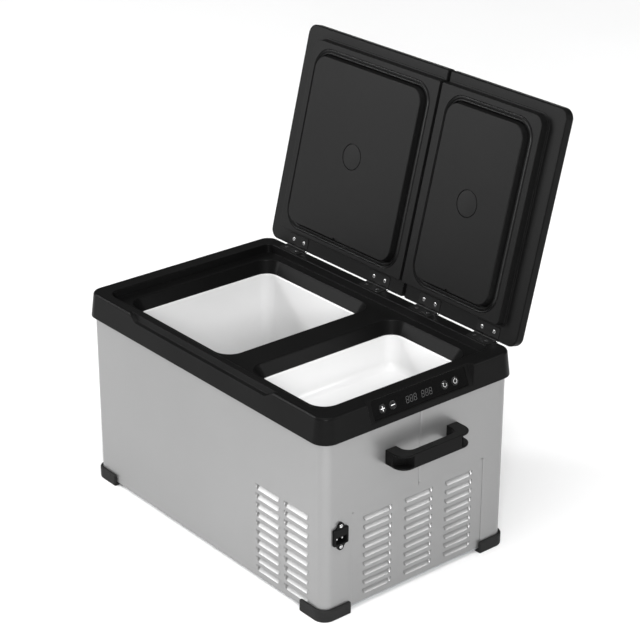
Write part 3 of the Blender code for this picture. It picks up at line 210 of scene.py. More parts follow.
def louver(length, width, pitch):
    """One pressed louver in its tile of sheet. X runs along it, Y into the body, and its slit is at Z = 0."""
    end, deep, high = 0.0060, 0.0050, 0.0090
    profile = ((1.0, 0), (0.98, 0.03), (0.75, 0.30), (0.5, 0.56), (0.25, 0.79), (0, 1))
    angles = quarter_turn(6)
    stations = [(end - length / 2 - end * sin(a), cos(a)) for a in reversed(angles)]
    stations += [(length / 2 - end + end * sin(a), cos(a)) for a in angles]
    shape = bmesh.new()
    rows = []
    first = shape.verts.new((-length / 2, 0, 0))
    last = shape.verts.new((length / 2, 0, 0))
    for down, inward in profile:
        row = [shape.verts.new((x, deep * inward * share, -high * down * share))
               for x, share in stations[1:-1]]
        rows.append([first, *row, last])
    for lower, upper in zip(rows, rows[1:]):
        for i in range(len(stations) - 1):
            corners = dict.fromkeys((lower[i], lower[i + 1], upper[i + 1], upper[i]))
            shape.faces.new(list(corners))
    left, right = [[shape.verts.new((x, 0, z)) for z in (0, louver_above - pitch, louver_above)]
                   for x in (-width / 2, width / 2)]
    shape.faces.new([left[0], left[1], right[1], right[0], *reversed(rows[0])])
    shape.faces.new([left[0], first, last, right[0], right[2], left[2]])
    return as_mesh(shape, "louver")


def point_line(tree, count, step, axis):
    """A line of points, a step apart along one axis."""
    offset = added(tree, "ShaderNodeCombineXYZ")
    line = added(tree, "GeometryNodeMeshLine")
    wire(tree, (step, offset.inputs[axis]), (count, line.inputs["Count"]), (offset.outputs[0], line.inputs["Offset"]))
    return line.outputs["Mesh"]


def set_on_points(tree, points, piece, material, result):
    """The end of a tree: the piece on each point, made real and given its material."""
    repeat = added(tree, "GeometryNodeInstanceOnPoints")
    whole = added(tree, "GeometryNodeRealizeInstances")
    coated = added(tree, "GeometryNodeSetMaterial")
    wire(tree, (points, repeat.inputs["Points"]), (piece, repeat.inputs["Instance"]),
         (repeat.outputs["Instances"], whole.inputs["Geometry"]),
         (whole.outputs["Geometry"], coated.inputs["Geometry"]), (material, coated.inputs["Material"]),
         (coated.outputs["Geometry"], result))
    return repeat


def louver_field_tree():
    """Repeats the louver that it is given, in columns and rows, as one sheet."""
    inputs = {"Louver": "Geometry", "Columns": "Int", "Rows": "Int", "Step": "Float", "Pitch": "Float",
              "Paint": "Material"}
    tree, given, result = new_tree("louver_field", "GeometryNodeTree", inputs, {"Field": "Geometry"})
    fall = added(tree, "ShaderNodeMath")
    fall.operation = "MULTIPLY"
    fall.inputs[1].default_value = -1
    columns = point_line(tree, given["Columns"], given["Step"], "X")
    rows = point_line(tree, given["Rows"], fall.outputs[0], "Z")
    grid = added(tree, "GeometryNodeInstanceOnPoints")
    spots = added(tree, "GeometryNodeRealizeInstances")
    wire(tree, (given["Pitch"], fall.inputs[0]), (columns, grid.inputs["Points"]), (rows, grid.inputs["Instance"]),
         (grid.outputs["Instances"], spots.inputs["Geometry"]))
    set_on_points(tree, spots.outputs["Geometry"], given["Louver"], given["Paint"], result["Field"])
    return tree


def grown_by_nodes(mesh, tree, values):
    """What a node tree makes of a mesh, with the tree's inputs set by name."""
    carrier = linked("carrier", mesh)
    modifier = carrier.modifiers.new(tree.name, "NODES")
    modifier.node_group = tree
    for item in tree.interface.items_tree:
        if item.in_out == "INPUT" and item.name in values:
            modifier[item.identifier] = values[item.name]
    return baked(carrier)


def sheet_cells(columns, levels, wanted):
    """A skin over columns of plan points and levels of height, one cell at a time where it is wanted."""
    shape = bmesh.new()
    points = {}

    def corner(i, z):
        if (i, z) not in points:
            points[i, z] = shape.verts.new((columns[i][0], columns[i][1], z))
        return points[i, z]

    for i in range(len(columns) - 1):
        for low, high in zip(levels, levels[1:]):
            if wanted(columns[i], columns[i + 1], low, high):
                shape.faces.new((corner(i, low), corner(i + 1, low), corner(i + 1, high), corner(i, high)))
    return as_mesh(shape, "sheet")


def swing(centre, radius, start, end, steps):
    """Plan points along an arc, angles in degrees."""
    angles = [radians(start + (end - start) * step / steps) for step in range(steps + 1)]
    return [(centre[0] + radius * cos(a), centre[1] + radius * sin(a)) for a in angles]


satin_paint = finish("satin_silver_paint", grey(0.24), grey(0.26), (0.28, 0.38), 1400.0, tone=3.0,
                     height=0.000012, Metallic=0.6, Coat_Weight=0.10, Coat_Roughness=0.25)
LOUVER_FIELD = louver_field_tree()


def louver_field(length, columns, rows, step, pitch, first, top):
    """Louvers in one sheet, with the edges of its columns and rows. First and top are where the first one lies."""
    field = grown_by_nodes(louver(length, step, pitch), LOUVER_FIELD, {
        "Columns": columns, "Rows": rows, "Step": step, "Pitch": pitch, "Paint": satin_paint})
    edges = [first + (i - 0.5) * step for i in range(columns + 1)]
    return field, edges, [top + louver_above - row * pitch for row in range(rows + 1)]


front_field, front_columns, front_levels = louver_field(0.0555, 2, 10, front_step, 0.0150, front_first, front_top)
front_field.transform(Matrix.Translation((front_first, -half_y, front_top)))
r = body_corner
plan = [(half_x, y) for y in (seam[1] + bends[1], opening[1], opening[1] + bends[1])]
plan += swing((half_x - r, half_y - r), r, 0, 90, corner_steps)
plan += swing((r - half_x, half_y - r), r, 90, 180, corner_steps)
plan += swing((r - half_x, r - half_y), r, 180, 270, corner_steps)
plan += [(x, -half_y) for x in front_columns]
plan += swing((half_x - r, r - half_y), r, 270, 360, corner_steps)
plan += [(half_x, y) for y in (*inlet_hole[:2], opening[0] - bends[-1], opening[0], seam[0] - bends[-1])]
levels = sorted({shell_low.z, opening_low, opening_top - relief, opening_top, seam_foot, *inlet_hole[2:],
                 rim_bottom, shell_high.z, *front_levels})


def in_shell(one, other, low, high):
    """Whether a cell is plain sheet, outside the louvers, the inlet's hole and the panel's opening."""
    x = (one[0] + other[0]) / 2
    y = (one[1] + other[1]) / 2
    if abs(y + half_y) < SHEET and front_columns[0] < x < front_columns[-1]:
        return not front_levels[-1] <= low < front_levels[0] - SHEET
    if x < half_x - SHEET:
        return True
    if inlet_hole[0] < y < inlet_hole[1] and inlet_hole[2] <= low < inlet_hole[3] - FIT:
        return False
    if opening[0] < y < opening[1]:
        return low >= opening_top - FIT
    if opening[0] - bends[-1] < y < opening[1] + bends[1]:
        return not opening_low <= low < opening_top - relief - FIT
    return True


def bent_edge(y, turn, low, high):
    """A sheet edge of the right end rolled inwards. Turn is the side of y on which its metal lies."""
    bend = bends[turn]
    rolled = [(half_x - bend + bend * cos(a), y + turn * bend - turn * bend * sin(a))
              for a in quarter_turn(5)]
    rolled.append((half_x - return_depth, y))
    if turn > 0:
        rolled.reverse()
    return sheet_cells(rolled, [z for z in levels if low - FIT <= z <= high + FIT], lambda *cell: True)


def seam_lap(y, turn):
    """The unbent stretches of a seam edge, below its return and inside the top frame."""
    lap = sorted(((half_x, y), (half_x, y + turn * bends[turn])), key=lambda point: point[1])
    return sheet_cells(lap, levels, lambda one, other, low, high:
                       opening_top - FIT < low and not seam_foot <= low < rim_bottom - FIT)


wrap = [sheet_cells(plan, levels, in_shell), front_field]
for side, turn in ((0, -1), (1, 1)):
    wrap.append(bent_edge(opening[side], turn, opening_low, opening_top - relief))
    wrap.append(bent_edge(seam[side], turn, seam_foot, rim_bottom))
    wrap.append(seam_lap(seam[side], turn))


def sheet_piece(name, sheets, stands_for):
    """Sheets joined and grown inwards to their thickness, as one piece of painted steel."""
    metal = evaluated(joined(*sheets), ("SOLIDIFY", dict(thickness=SHEET, offset=-1, use_even_offset=False)))
    metal.transform(BODY)
    place_piece(name, shaded(metal, 30), satin_paint, "cabinet", "painted_sheet", stands_for)


sheet_piece("shell_sheet", wrap, "outer_shell")


# Access panel: a flat steel sheet in the same paint with three columns of pressed louvers. It lies behind
# the bent sides of the opening, and its top edge is tucked in behind the shell.
panel_low, panel_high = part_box("access_panel")
panel_face = panel_high.x
side_step, side_top = 0.0780, 0.1468
side_first = panel_y - side_step
side_field, side_columns, side_levels = louver_field(0.0547, 3, 9, side_step, 0.0149, side_first, side_top)
side_field.transform(Matrix.Translation((panel_face, side_first, side_top)) @ Matrix.Rotation(pi / 2, 4, "Z"))
tuck = panel_half - 2 * relief
panel_edges = [panel_y + side * reach for side in (-1, 1) for reach in (panel_half, tuck)]
panel_columns = [(panel_face, y) for y in sorted((*panel_edges, *side_columns))]
panel_levels = sorted((panel_low.z, opening_top - relief, panel_high.z, *side_levels))


def in_panel(one, other, low, high):
    """Whether a cell is plain sheet, outside the louvers and the two cut corners at the top."""
    y = (one[1] + other[1]) / 2
    if side_columns[0] < y < side_columns[-1] and side_levels[-1] - FIT < low < side_levels[0] - FIT:
        return False
    return abs(y - panel_y) < tuck or low < opening_top - relief - FIT


sheet_piece("louvered_panel", (sheet_cells(panel_columns, panel_levels, in_panel), side_field), "access_panel")


# Base pan: a galvanised steel floor, pressed to fit inside the foot of the shell. The spangle of its zinc
# coat shows.
galvanised = finish("galvanised_steel", (0.42, 0.44, 0.46), (0.56, 0.57, 0.58), (0.30, 0.55), 160.0, tone=60.0,
                    height=0.00001, Metallic=0.9)


def refinish(material, *names):
    """A better material for CAD nodes that keep their own shape."""
    for name in names:
        nodes[name].material_slots[0].material = material


refinish(galvanised, "base_pan")


# Feet: black rubber caps, each moulded to wrap one bottom corner of the body and pushed on from below, so
# that the cooler stands on their soles.
rubber = finish("foot_rubber", grey(0.006), grey(0.011), (0.55, 0.75), 700.0, tone=20.0, height=0.00003,
                Specular_IOR_Level=0.2)
foot_leg = 0.049
foot_proud = 0.0045
foot_top = 0.0190
foot_floor = 0.0067
foot_inner_corner = 0.003


def round_box(box, radii, steps=10):
    """A rectangle (x0, x1, y0, y1) with a rounded corner of its own size at each corner, from +X +Y round."""
    x0, x1, y0, y1 = box
    if not isinstance(radii, (list, tuple)):
        radii = (radii,) * 4
    corners = ((x1, y1, -1, -1), (x0, y1, 1, -1), (x0, y0, 1, 1), (x1, y0, -1, 1))
    points = []
    for quarter, ((x, y, to_x, to_y), radius) in enumerate(zip(corners, radii)):
        points += swing((x + radius * to_x, y + radius * to_y), radius, quarter * 90, quarter * 90 + 90, steps)
    return points


def grown(box, by):
    x0, x1, y0, y1 = box
    return (x0 - by, x1 + by, y0 - by, y1 + by)


def skin(rings, closed=False):
    """A skin through rings of 3-D points: capped at both ends, or closed on itself as a ring of section."""
    shape = bmesh.new()
    rows = [[shape.verts.new(point) for point in points] for points in rings]
    count = len(rows[0])
    pairs = list(zip(rows, rows[1:]))
    if closed:
        pairs.append((rows[-1], rows[0]))
    for lower, upper in pairs:
        for i in range(count):
            j = (i + 1) % count
            shape.faces.new((lower[i], lower[j], upper[j], upper[i]))
    if not closed:
        shape.faces.new(reversed(rows[0]))
        shape.faces.new(rows[-1])
    bmesh.ops.recalc_face_normals(shape, faces=shape.faces)
    return as_mesh(shape, "skin")


def level(points, z):
    return [(x, y, z) for x, y in points]


def flat_ring(box, radii, z, steps=10):
    return level(round_box(box, radii, steps), z)


def block(box, radius, low, high, steps=10):
    return skin([flat_ring(box, radius, z, steps) for z in (low, high)])


def roll(steps):
    """A quarter round as shares of its radius: how far it is drawn in, and how far it has risen."""
    return [(1 - cos(a), sin(a)) for a in quarter_turn(steps)]


def eased_foot(size, steps, low):
    """Insets and heights of an outline that is rounded where it starts."""
    return [(size * drawn_in, low + size * (1 - risen)) for drawn_in, risen in reversed(roll(steps))]


def eased_brow(inset, size, steps, high):
    """Insets and heights of an outline that is rounded where it ends."""
    return [(inset * drawn_in, high - size + size * risen) for drawn_in, risen in roll(steps)]


def shaped(mesh, *changes):
    """A mesh after Boolean cuts and joins, each a pair of an operation and a mesh, with slivers merged."""
    tools, steps = [], []
    for operation, other in changes:
        tools.append(linked("tool", other))
        steps.append(("BOOLEAN", dict(operation=operation, solver="EXACT", object=tools[-1])))
    result = evaluated(mesh, *steps)
    for tool in tools:
        bpy.data.objects.remove(tool, do_unlink=True)
    shape = bmesh.new()
    shape.from_mesh(result)
    sliver = 0.00003
    bmesh.ops.remove_doubles(shape, verts=shape.verts, dist=sliver)
    bmesh.ops.dissolve_degenerate(shape, edges=shape.edges, dist=sliver)
    bmesh.ops.dissolve_limit(shape, angle_limit=radians(0.6), verts=shape.verts, edges=shape.edges)
    shape.to_mesh(result)
    shape.free()
    return result


def softened(mesh, width, segments=2, angle=32):
    """Sharp edges rounded a little, as a moulding's are, with flat faces kept flat."""
    mesh.shade_smooth()
    return evaluated(
        mesh,
        ("BEVEL", dict(width=width, segments=segments, limit_method="ANGLE", angle_limit=radians(angle),
                       use_clamp_overlap=False, miter_outer="MITER_ARC")),
        ("WEIGHTED_NORMAL", dict(weight=80, keep_sharp=False)))


for end, x_word in ((-1, "left"), (1, "right")):
    for side, y_word in ((-1, "front"), (1, "back")):
        xs = sorted((end * (half_x + foot_proud), end * (half_x - foot_leg)))
        ys = sorted((side * (half_y + foot_proud), side * (half_y - foot_leg)))
        radii = [body_corner + foot_proud if sign == (end, side) else foot_inner_corner
                 for sign in ((1, 1), (-1, 1), (-1, -1), (1, -1))]
        rings = [flat_ring(grown((*xs, *ys), -inset), [radius - inset for radius in radii], z)
                 for inset, z in eased_foot(0.0015, 4, 0.0) + eased_brow(0.0027, 0.003, 6, foot_top)]
        room = block(grown(body_plan, FIT), body_corner + FIT, foot_floor, 0.1)
        cap = softened(shaped(skin(rings), ("DIFFERENCE", room)), 0.0005)
        cap.transform(BODY)
        place_piece(f"{y_word}_{x_word}_cap", cap, rubber, "cabinet", "foot_rubber", f"foot_{y_word}_{x_word}")


# Inner liner: one glossy white plastic moulding, a deep well on the left and a shallow one over the machine
# bay, hung by its flange under the top frame.
white_plastic = finish("white_liner_plastic", grey(0.69), grey(0.73), (0.16, 0.26), 45.0, tone=5.0, height=0.00005,
                       Coat_Weight=0.15, Coat_Roughness=0.08)
lip_z = 0.2892
liner_wall = 0.0025
well_corner = 0.020
well_taper = 0.004
floor_round = 0.012
lip_round = 0.0015
deep_well = (-0.2235, 0.0085, -0.1305, 0.1280)
shallow_well = (0.0785, 0.2235, -0.1305, 0.1280)
wells = ((deep_well, 0.0450), (shallow_well, 0.2362))


def well_box(well, floor, z, by=0.0):
    """A well's outline at a height, as its walls lean in towards the floor."""
    return grown(well, by - well_taper * (lip_z - z) / (lip_z - floor))


def well_room(well, floor):
    """The space in a well, rounded at its floor and at its lip."""
    rings = [flat_ring(well_box(well, floor, z, -inset), well_corner - inset, z, 14)
             for inset, z in eased_foot(floor_round, 8, floor)]
    over_lip = eased_brow(lip_round, lip_round, 4, lip_z) + [(lip_round + 0.0001, lip_z + FIT)]
    rings += [flat_ring(grown(well, by), well_corner + by, z, 14) for by, z in over_lip]
    return skin(rings)


flange = grown(body_plan, -SHEET - FIT)
liner = block(flange, body_corner - SHEET - FIT, lip_z - liner_wall, lip_z)
hung = []
for well, floor in wells:
    outer = [flat_ring(well_box(well, floor, z, liner_wall), well_corner + liner_wall, z)
             for z in (floor - liner_wall, lip_z - liner_wall / 2)]
    hung.append(("UNION", skin(outer)))
hung += [("DIFFERENCE", well_room(well, floor)) for well, floor in wells]
liner = shaped(liner, *hung)
liner.transform(BODY)
place_piece("white_liner", shaded(liner, 30), white_plastic, "cabinet", "white_liner", "inner_liner")


# Insulation and evaporator: foam poured between shell and liner, and the aluminium plate that cools the
# deep well, wrapped round the liner inside the foam.
foam = finish("poured_foam", (0.62, 0.54, 0.36), (0.74, 0.67, 0.48), (0.80, 0.95), 420.0, tone=35.0, height=0.0004)
plate_aluminium = finish("rolled_aluminium", (0.60, 0.61, 0.62), (0.70, 0.71, 0.72), (0.28, 0.42), 800.0, tone=14.0,
                         height=0.000008, Metallic=1.0)
refinish(foam, "insulation", "left_lid_foam", "right_lid_foam")
refinish(plate_aluminium, "evaporator_plate", "condenser")


# Machine bay: the enamelled compressor on its black steel bracket, the plastic fan that blows through the
# condenser, and the board that drives the compressor, all behind the louvers.
enamel = finish("compressor_enamel", grey(0.008), grey(0.014), (0.22, 0.34), 260.0, tone=18.0, height=0.00002,
                Coat_Weight=0.4, Coat_Roughness=0.15)
black_steel = finish("black_coated_steel", grey(0.007), grey(0.012), (0.34, 0.48), 900.0, tone=40.0, height=0.00001,
                     Metallic=0.1, Specular_IOR_Level=0.12)
board_lacquer = finish("board_lacquer", (0.006, 0.055, 0.022), (0.012, 0.085, 0.036), (0.30, 0.55), 240.0, tone=180.0,
                       height=0.00006)
black_plastic = finish("black_moulded_plastic", grey(0.0040), grey(0.0056), (0.28, 0.38), 1500.0, tone=9.0,
                       height=0.00002, Specular_IOR_Level=0.05)
refinish(enamel, "compressor")
refinish(black_steel, "compressor_bracket")
refinish(black_plastic, "fan_housing", "fan_rotor")
refinish(board_lacquer, "driver_board", "control_board")


# Top frame: the black plastic moulding that caps the body. It has a skirt over the sheet, a stepped recess
# for the lids, two funnels down to the liner, a finger scoop at the front and seats for the hinges.
rim_top = 0.3222
rim_height = rim_top - rim_bottom
rim_x, rim_y = 0.2828, 0.1778
overhang = 0.0077
rim_draft = 0.0049
rim_corner = 0.0249
recess = (-0.2560, 0.2560, -0.1610, 0.1563)
recess_draft = 0.002
recess_corners = (0.011, 0.011, 0.020, 0.020)
recess_ease = 0.0014
funnel_foot, funnel_mouth, funnel_corner, funnel_ease = 0.002, 0.012, 0.016, 0.0022
scoop_half, scoop_end, scoop_width, scoop_lean = 0.177, 0.024, 0.0068, 0.003
scoop_depth, scoop_fall = 0.0093, 0.0022
ledge_z = 0.3092
under_rim = lip_z + FIT
axis_y = rim_y + 0.0007
hinge_x = {"left_lid": (-0.2130, -0.0155), "right_lid": (0.0995, 0.2256)}
hinge_length = 0.046
leaf_depth = 0.0195
leaf_seat = 0.0008
small_corner = 0.0006
barrel = 0.0022
pin_head = 0.0017
control_low = 0.0306
control_half = 0.0965
control_inset = 0.0093
control_run = control_inset + rim_draft * control_low / rim_height
control_turn = 0.404650
control_cut, control_flare = 0.03, 0.45
CONTROL = Matrix.Translation((rim_x - control_inset + control_run / 2, 0, rim_top - control_low / 2))
CONTROL = CONTROL @ Matrix.Rotation(-control_turn, 4, "Y")
fascia_size = (0.176, 0.0285)
fascia_corner = 0.002
fascia_drop = 0.0008
fascia_back = -0.0026
pocket = (-0.084, 0.084, -0.0075, 0.01025)
pocket_corner, pocket_back = 0.002, -0.008
FACE_OUT = Matrix.Rotation(pi / 2, 4, "Y")


def upright(points, x):
    """Points given along the control panel and up its slope, at a depth."""
    return [(x, y, z) for y, z in points]


def centred(length, height, y=0.0, z=0.0):
    return (y - length / 2, y + length / 2, z - height / 2, z + height / 2)


def standing(box, radius, x0, x1, steps=6):
    points = round_box(box, radius, steps)
    return skin([upright(points, x0), upright(points, x1)])


def moved(mesh, matrix):
    """The mesh itself, after a move."""
    mesh.transform(matrix)
    return mesh


def funnel(well):
    """The steep way from the ledge down to the liner's lip, rounded where it leaves the ledge."""
    by = funnel_foot
    rings = [flat_ring(grown(well, by), well_corner + by, z, 12) for z in (under_rim - 0.001, under_rim + 0.0015)]
    flare = [(funnel_mouth - funnel_ease / 2 + eased, z)
             for eased, z in eased_brow(funnel_ease, funnel_ease, 5, ledge_z)]
    flare.append((funnel_mouth + 0.0012, ledge_z + 0.002))
    return skin(rings + [flat_ring(grown(well, by), funnel_corner + by, z, 12) for by, z in flare])


def stepped_recess():
    """The room for the lids' raised frames, rounded at its upper edge."""
    outlines = [(-recess_draft, ledge_z), *eased_brow(recess_ease, recess_ease, 5, rim_top),
                (recess_ease * 1.1, rim_top + 0.002)]
    return skin([flat_ring(grown(recess, by), [radius + by for radius in recess_corners], z, 12)
                 for by, z in outlines])


def finger_scoop():
    """A floor along the front edge that dips in an S at each end, under a leaning wall."""
    steps = 16
    dip = [(scoop_half - scoop_end * step / steps, (1 - cos(pi * step / steps)) / 2) for step in range(steps + 1)]
    profile = dip + [(-x, share) for x, share in reversed(dip)]

    def section(y, depth, lean):
        points = [(x, y + lean * (1 - share), rim_top - depth * share) for x, share in profile]
        return points + [(x, y + lean, rim_top + 0.004) for x in (-scoop_half, scoop_half)]

    wall = scoop_width - rim_y
    outside = -(half_y + overhang + scoop_width)
    fall = scoop_fall * (wall - outside) / scoop_width
    return skin([section(wall - scoop_lean, scoop_depth, scoop_lean), section(outside, scoop_depth + fall, 0)])


outlines = eased_foot(0.0008, 3, rim_bottom)
outlines += [(rim_draft * (z - rim_bottom) / rim_height + inset, z)
             for inset, z in eased_brow(0.004, 0.004, 7, rim_top)]
rings = [flat_ring(grown(body_plan, overhang - inset), rim_corner - inset, z, 12) for inset, z in outlines]
cutters = [block(grown(body_plan, FIT), body_corner + FIT, 0.27, under_rim, 12), stepped_recess(), funnel(deep_well),
           funnel(shallow_well), finger_scoop()]
flared = control_half + control_cut * control_flare
control_face = skin([upright(round_box(centred(2 * half, 2 * control_low), FIT, 1), x)
                     for half, x in ((control_half, 0), (flared, control_cut))])
fascia_seat = standing(grown(centred(*fascia_size), FIT), fascia_corner, fascia_back - FIT, control_cut)
for cutter in (control_face, fascia_seat, standing(pocket, pocket_corner, pocket_back, 0)):
    cutters.append(moved(cutter, CONTROL))


def rod(radius, low, high, axis="Z", sides=32):
    """A round bar along X or Z, through the origin."""
    circle = swing((0, 0), radius, 0, 360 - 360 / sides, sides - 1)
    upstanding = skin([level(circle, z) for z in (low, high)])
    return moved(upstanding, FACE_OUT) if axis == "X" else upstanding


for places in hinge_x.values():
    for x in places:
        half = hinge_length / 2 + FIT
        cutters.append(block((x - half, x + half, axis_y - leaf_depth - FIT, axis_y + overhang), small_corner,
                             rim_top - leaf_seat, rim_top + leaf_seat, 2))
        notch = rod(barrel + 2 * FIT, -half - pin_head, half + pin_head, "X")
        cutters.append(moved(notch, Matrix.Translation((x, axis_y, rim_top))))
rim_mesh = softened(shaped(skin(rings), *[("DIFFERENCE", cutter) for cutter in cutters]), 0.0005)
for vertex in rim_mesh.vertices:
    vertex.co.z = min(vertex.co.z, rim_top)
rim_mesh.transform(BODY)
place_piece("rim_moulding", rim_mesh, black_plastic, "cabinet", "black_moulding", "top_frame")


# Control panel: a polished black fascia let into the slanting face, four round buttons that come up through
# it on springs, and white and dim grey print for the buttons and the two three-digit displays.
gloss_black = finish("polished_fascia", grey(0.0020), grey(0.0030), (0.08, 0.14), 30.0, tone=12.0,
                     height=0.000004, Specular_IOR_Level=0.20)
button_black = finish("button_plastic", grey(0.0035), grey(0.0055), (0.20, 0.32), 900.0, tone=40.0,
                      height=0.00001, Specular_IOR_Level=0.35)
white_print = finish("white_print", grey(0.70), grey(0.80), (0.40, 0.55), 2000.0, tone=80.0, height=0.00001)
dim_print = finish("unlit_segments", grey(0.030), grey(0.040), (0.30, 0.45), 2000.0, tone=80.0, height=0.00001)
button_radius = 0.0062
button_lift = -0.0013
button_dish = 0.00022
stem_radius, stem_end = 0.002, -0.0062
buttons = {"plus": -0.0700, "minus": -0.0511, "set": 0.0465, "power": 0.0661}
button_top = 0.0005 - fascia_drop
print_depth = 0.00005
icon_stroke = 0.00045
digit_half, digit_stroke, digit_lean = 0.00225, 0.00042, 0.09


def turned(profile, sides=32):
    """A closed outline of radius and height turned about Z, from its top centre to its bottom centre."""
    shape = bmesh.new()
    rows = []
    for radius, z in profile:
        if radius == 0:
            rows.append([shape.verts.new((0, 0, z))] * sides)
        else:
            circle = swing((0, 0), radius, 0, 360 - 360 / sides, sides - 1)
            rows.append([shape.verts.new(point) for point in level(circle, z)])
    for upper, lower in zip(rows, rows[1:]):
        for i in range(sides):
            j = (i + 1) % sides
            corners = dict.fromkeys((lower[i], lower[j], upper[j], upper[i]))
            shape.faces.new(list(corners))
    bmesh.ops.recalc_face_normals(shape, faces=shape.faces)
    return as_mesh(shape, "turned")


glass = standing(centred(*fascia_size), fascia_corner, fascia_back, -fascia_drop, 8)
holes = []
for y in buttons.values():
    hole = moved(rod(button_radius + FIT, -0.01, 0.01, "X", 40), Matrix.Translation((0, y, button_lift)))
    holes.append(("DIFFERENCE", hole))
glass = softened(shaped(glass, *holes), 0.0003)
place_piece("fascia_glass", moved(glass, BODY @ CONTROL), gloss_black, "cabinet", "gloss_fascia", "control_fascia")
refinish(gloss_black, "display_module")


def bar(y0, y1, z0, z1, face):
    return standing((y0, y1, z0, z1), min(y1 - y0, z1 - z0) * 0.2, face, face + print_depth, 2)


def ring_print(radius, width, start, end, face):
    """A printed arc: a flat ring from one angle to another, in degrees from the right."""
    outer = swing((0, 0), radius + width / 2, start, end, 28)
    inner = swing((0, 0), radius - width / 2, end, start, 28)
    return skin([upright(outer + inner, depth) for depth in (face, face + print_depth)])


legends = {
    "plus": (bar(-0.0038, 0.0038, -0.00055, 0.00055, button_top),
             bar(-0.00055, 0.00055, -0.0038, 0.0038, button_top)),
    "minus": (bar(-0.0036, 0.0036, -0.00055, 0.00055, button_top),),
    "set": (ring_print(0.0031, icon_stroke, 115, 395, button_top),
            bar(-0.0044, -0.0012, 0.0025, 0.0030, button_top)),
    "power": (ring_print(0.0032, icon_stroke, 125, 415, button_top),
              bar(-0.00025, 0.00025, 0.0014, 0.0042, button_top)),
}
for name, y in buttons.items():
    place = BODY @ CONTROL @ Matrix.Translation((0, y, button_lift))
    dish = [(button_radius * share, button_top - button_dish * (1 - share ** 2)) for share in (0, 0.3, 0.55, 0.78)]
    dish += [(button_radius - 0.0006, button_top - 0.00008), (button_radius - 0.0002, button_top - 0.00025),
             (button_radius, button_top - 0.0006), (button_radius, fascia_back), (0, fascia_back)]
    stem = rod(stem_radius, stem_end, fascia_back + 0.0005, "X", 16)
    cap = shaped(moved(turned(dish, 40), FACE_OUT), ("UNION", stem))
    place_piece(f"{name}_button", moved(shaded(cap, 40), place), button_black, f"button_{name}", "gloss_fascia",
                f"button_{name}")
    for index, mark in enumerate(legends[name]):
        place_piece(f"{name}_mark_{index + 1}", moved(mark, place), white_print, f"button_{name}", "gloss_fascia")


def digits_in_line_tree():
    """Sets the segment digit that it is given at each point of a line, as one print."""
    inputs = {"Digit": "Geometry", "Count": "Int", "Step": "Float", "Print": "Material"}
    tree, given, result = new_tree("digits_in_line", "GeometryNodeTree", inputs, {"Digits": "Geometry"})
    line = point_line(tree, given["Count"], given["Step"], "Y")
    set_on_points(tree, line, given["Digit"], given["Print"], result["Digits"])
    return tree


def segment(y, z, length, stands):
    """One six-sided segment of a digit, lying or standing."""
    half = length / 2 - 0.00015
    thick = digit_stroke
    points = [(-half, 0), (-half + thick, -thick), (half - thick, -thick), (half, 0), (half - thick, thick),
              (-half + thick, thick)]
    if stands:
        points = [(-b, a) for a, b in points]
    leaned = [(y + a + digit_lean * (z + b), z + b) for a, b in points]
    return skin([upright(leaned, -fascia_drop), upright(leaned, -fascia_drop + print_depth)])


length = 2 * digit_half
digit_parts = [segment(0, z, length, False) for z in (-length, 0, length)]
digit_parts += [segment(y, z, length, True) for y in (-digit_half, digit_half) for z in (-digit_half, digit_half)]
digit = joined(*digit_parts)
DIGITS = digits_in_line_tree()
for word, start in (("left", -0.0242), ("right", 0.0047)):
    digits = grown_by_nodes(digit, DIGITS, {"Count": 3, "Step": 0.0073, "Print": dim_print})
    place = BODY @ CONTROL @ Matrix.Translation((0, start, -0.0018))
    place_piece(f"{word}_digits", moved(digits, place), dim_print, "cabinet", "gloss_fascia")


# Power inlet: a black moulded two-pin socket in the right end, its block bevelled at the front and held by a
# screw through an ear above and an ear below. The cross-headed screws are bright steel.
bright_steel = finish("bright_steel", grey(0.42), grey(0.54), (0.18, 0.34), 1200.0, tone=120.0,
                      height=0.000006, Metallic=1.0)
inlet_place = BODY @ Matrix.Translation((half_x, -0.1455, 0.1325))
inlet_face = 0.0045
inlet_drop = -0.0050
ear_step = 0.0165
ear_radius = 0.0055
ear_thickness = 0.0028
ear_foot = (0.0105, 0.012)
socket_depth = 0.014
pin_places = (("negative", -0.00505), ("positive", 0.00505))
front_block = centred(0.0272, 0.0265)
inlet_rings = [upright(round_box(grown(front_block, by), 0.0025 + by, 5), x)
               for by, x in ((0, FIT), (0, inlet_face - 0.0012), (-0.0012, inlet_face))]
inlet_steps = []
for side in (-1, 1):
    outline = [ear_foot, *swing((0, ear_step), ear_radius, 0, 180, 16), (-ear_foot[0], ear_foot[1])]
    outline = [(side * y, side * z) for y, z in outline]
    inlet_steps.append(("UNION", skin([upright(outline, x) for x in (FIT, FIT + ear_thickness)])))
inlet_steps.append(("UNION", standing(centred(0.024, 0.024), 0.0012, -0.018, inlet_face / 2)))
inlet_steps.append(("DIFFERENCE", standing(centred(0.0195, 0.011, 0, inlet_drop), 0.0012,
                                           inlet_face - socket_depth, inlet_face + 0.001)))
for word, y in pin_places:
    hole = rod(0.0021, inlet_face - socket_depth - 0.003, inlet_face - socket_depth + 0.0003, "X")
    inlet_steps.append(("DIFFERENCE", moved(hole, Matrix.Translation((0, y, inlet_drop)))))
inlet_mesh = softened(shaped(skin(inlet_rings), *inlet_steps), 0.0004)
place_piece("inlet_block", moved(inlet_mesh, inlet_place), black_plastic, "cabinet", "black_moulding", "power_inlet")
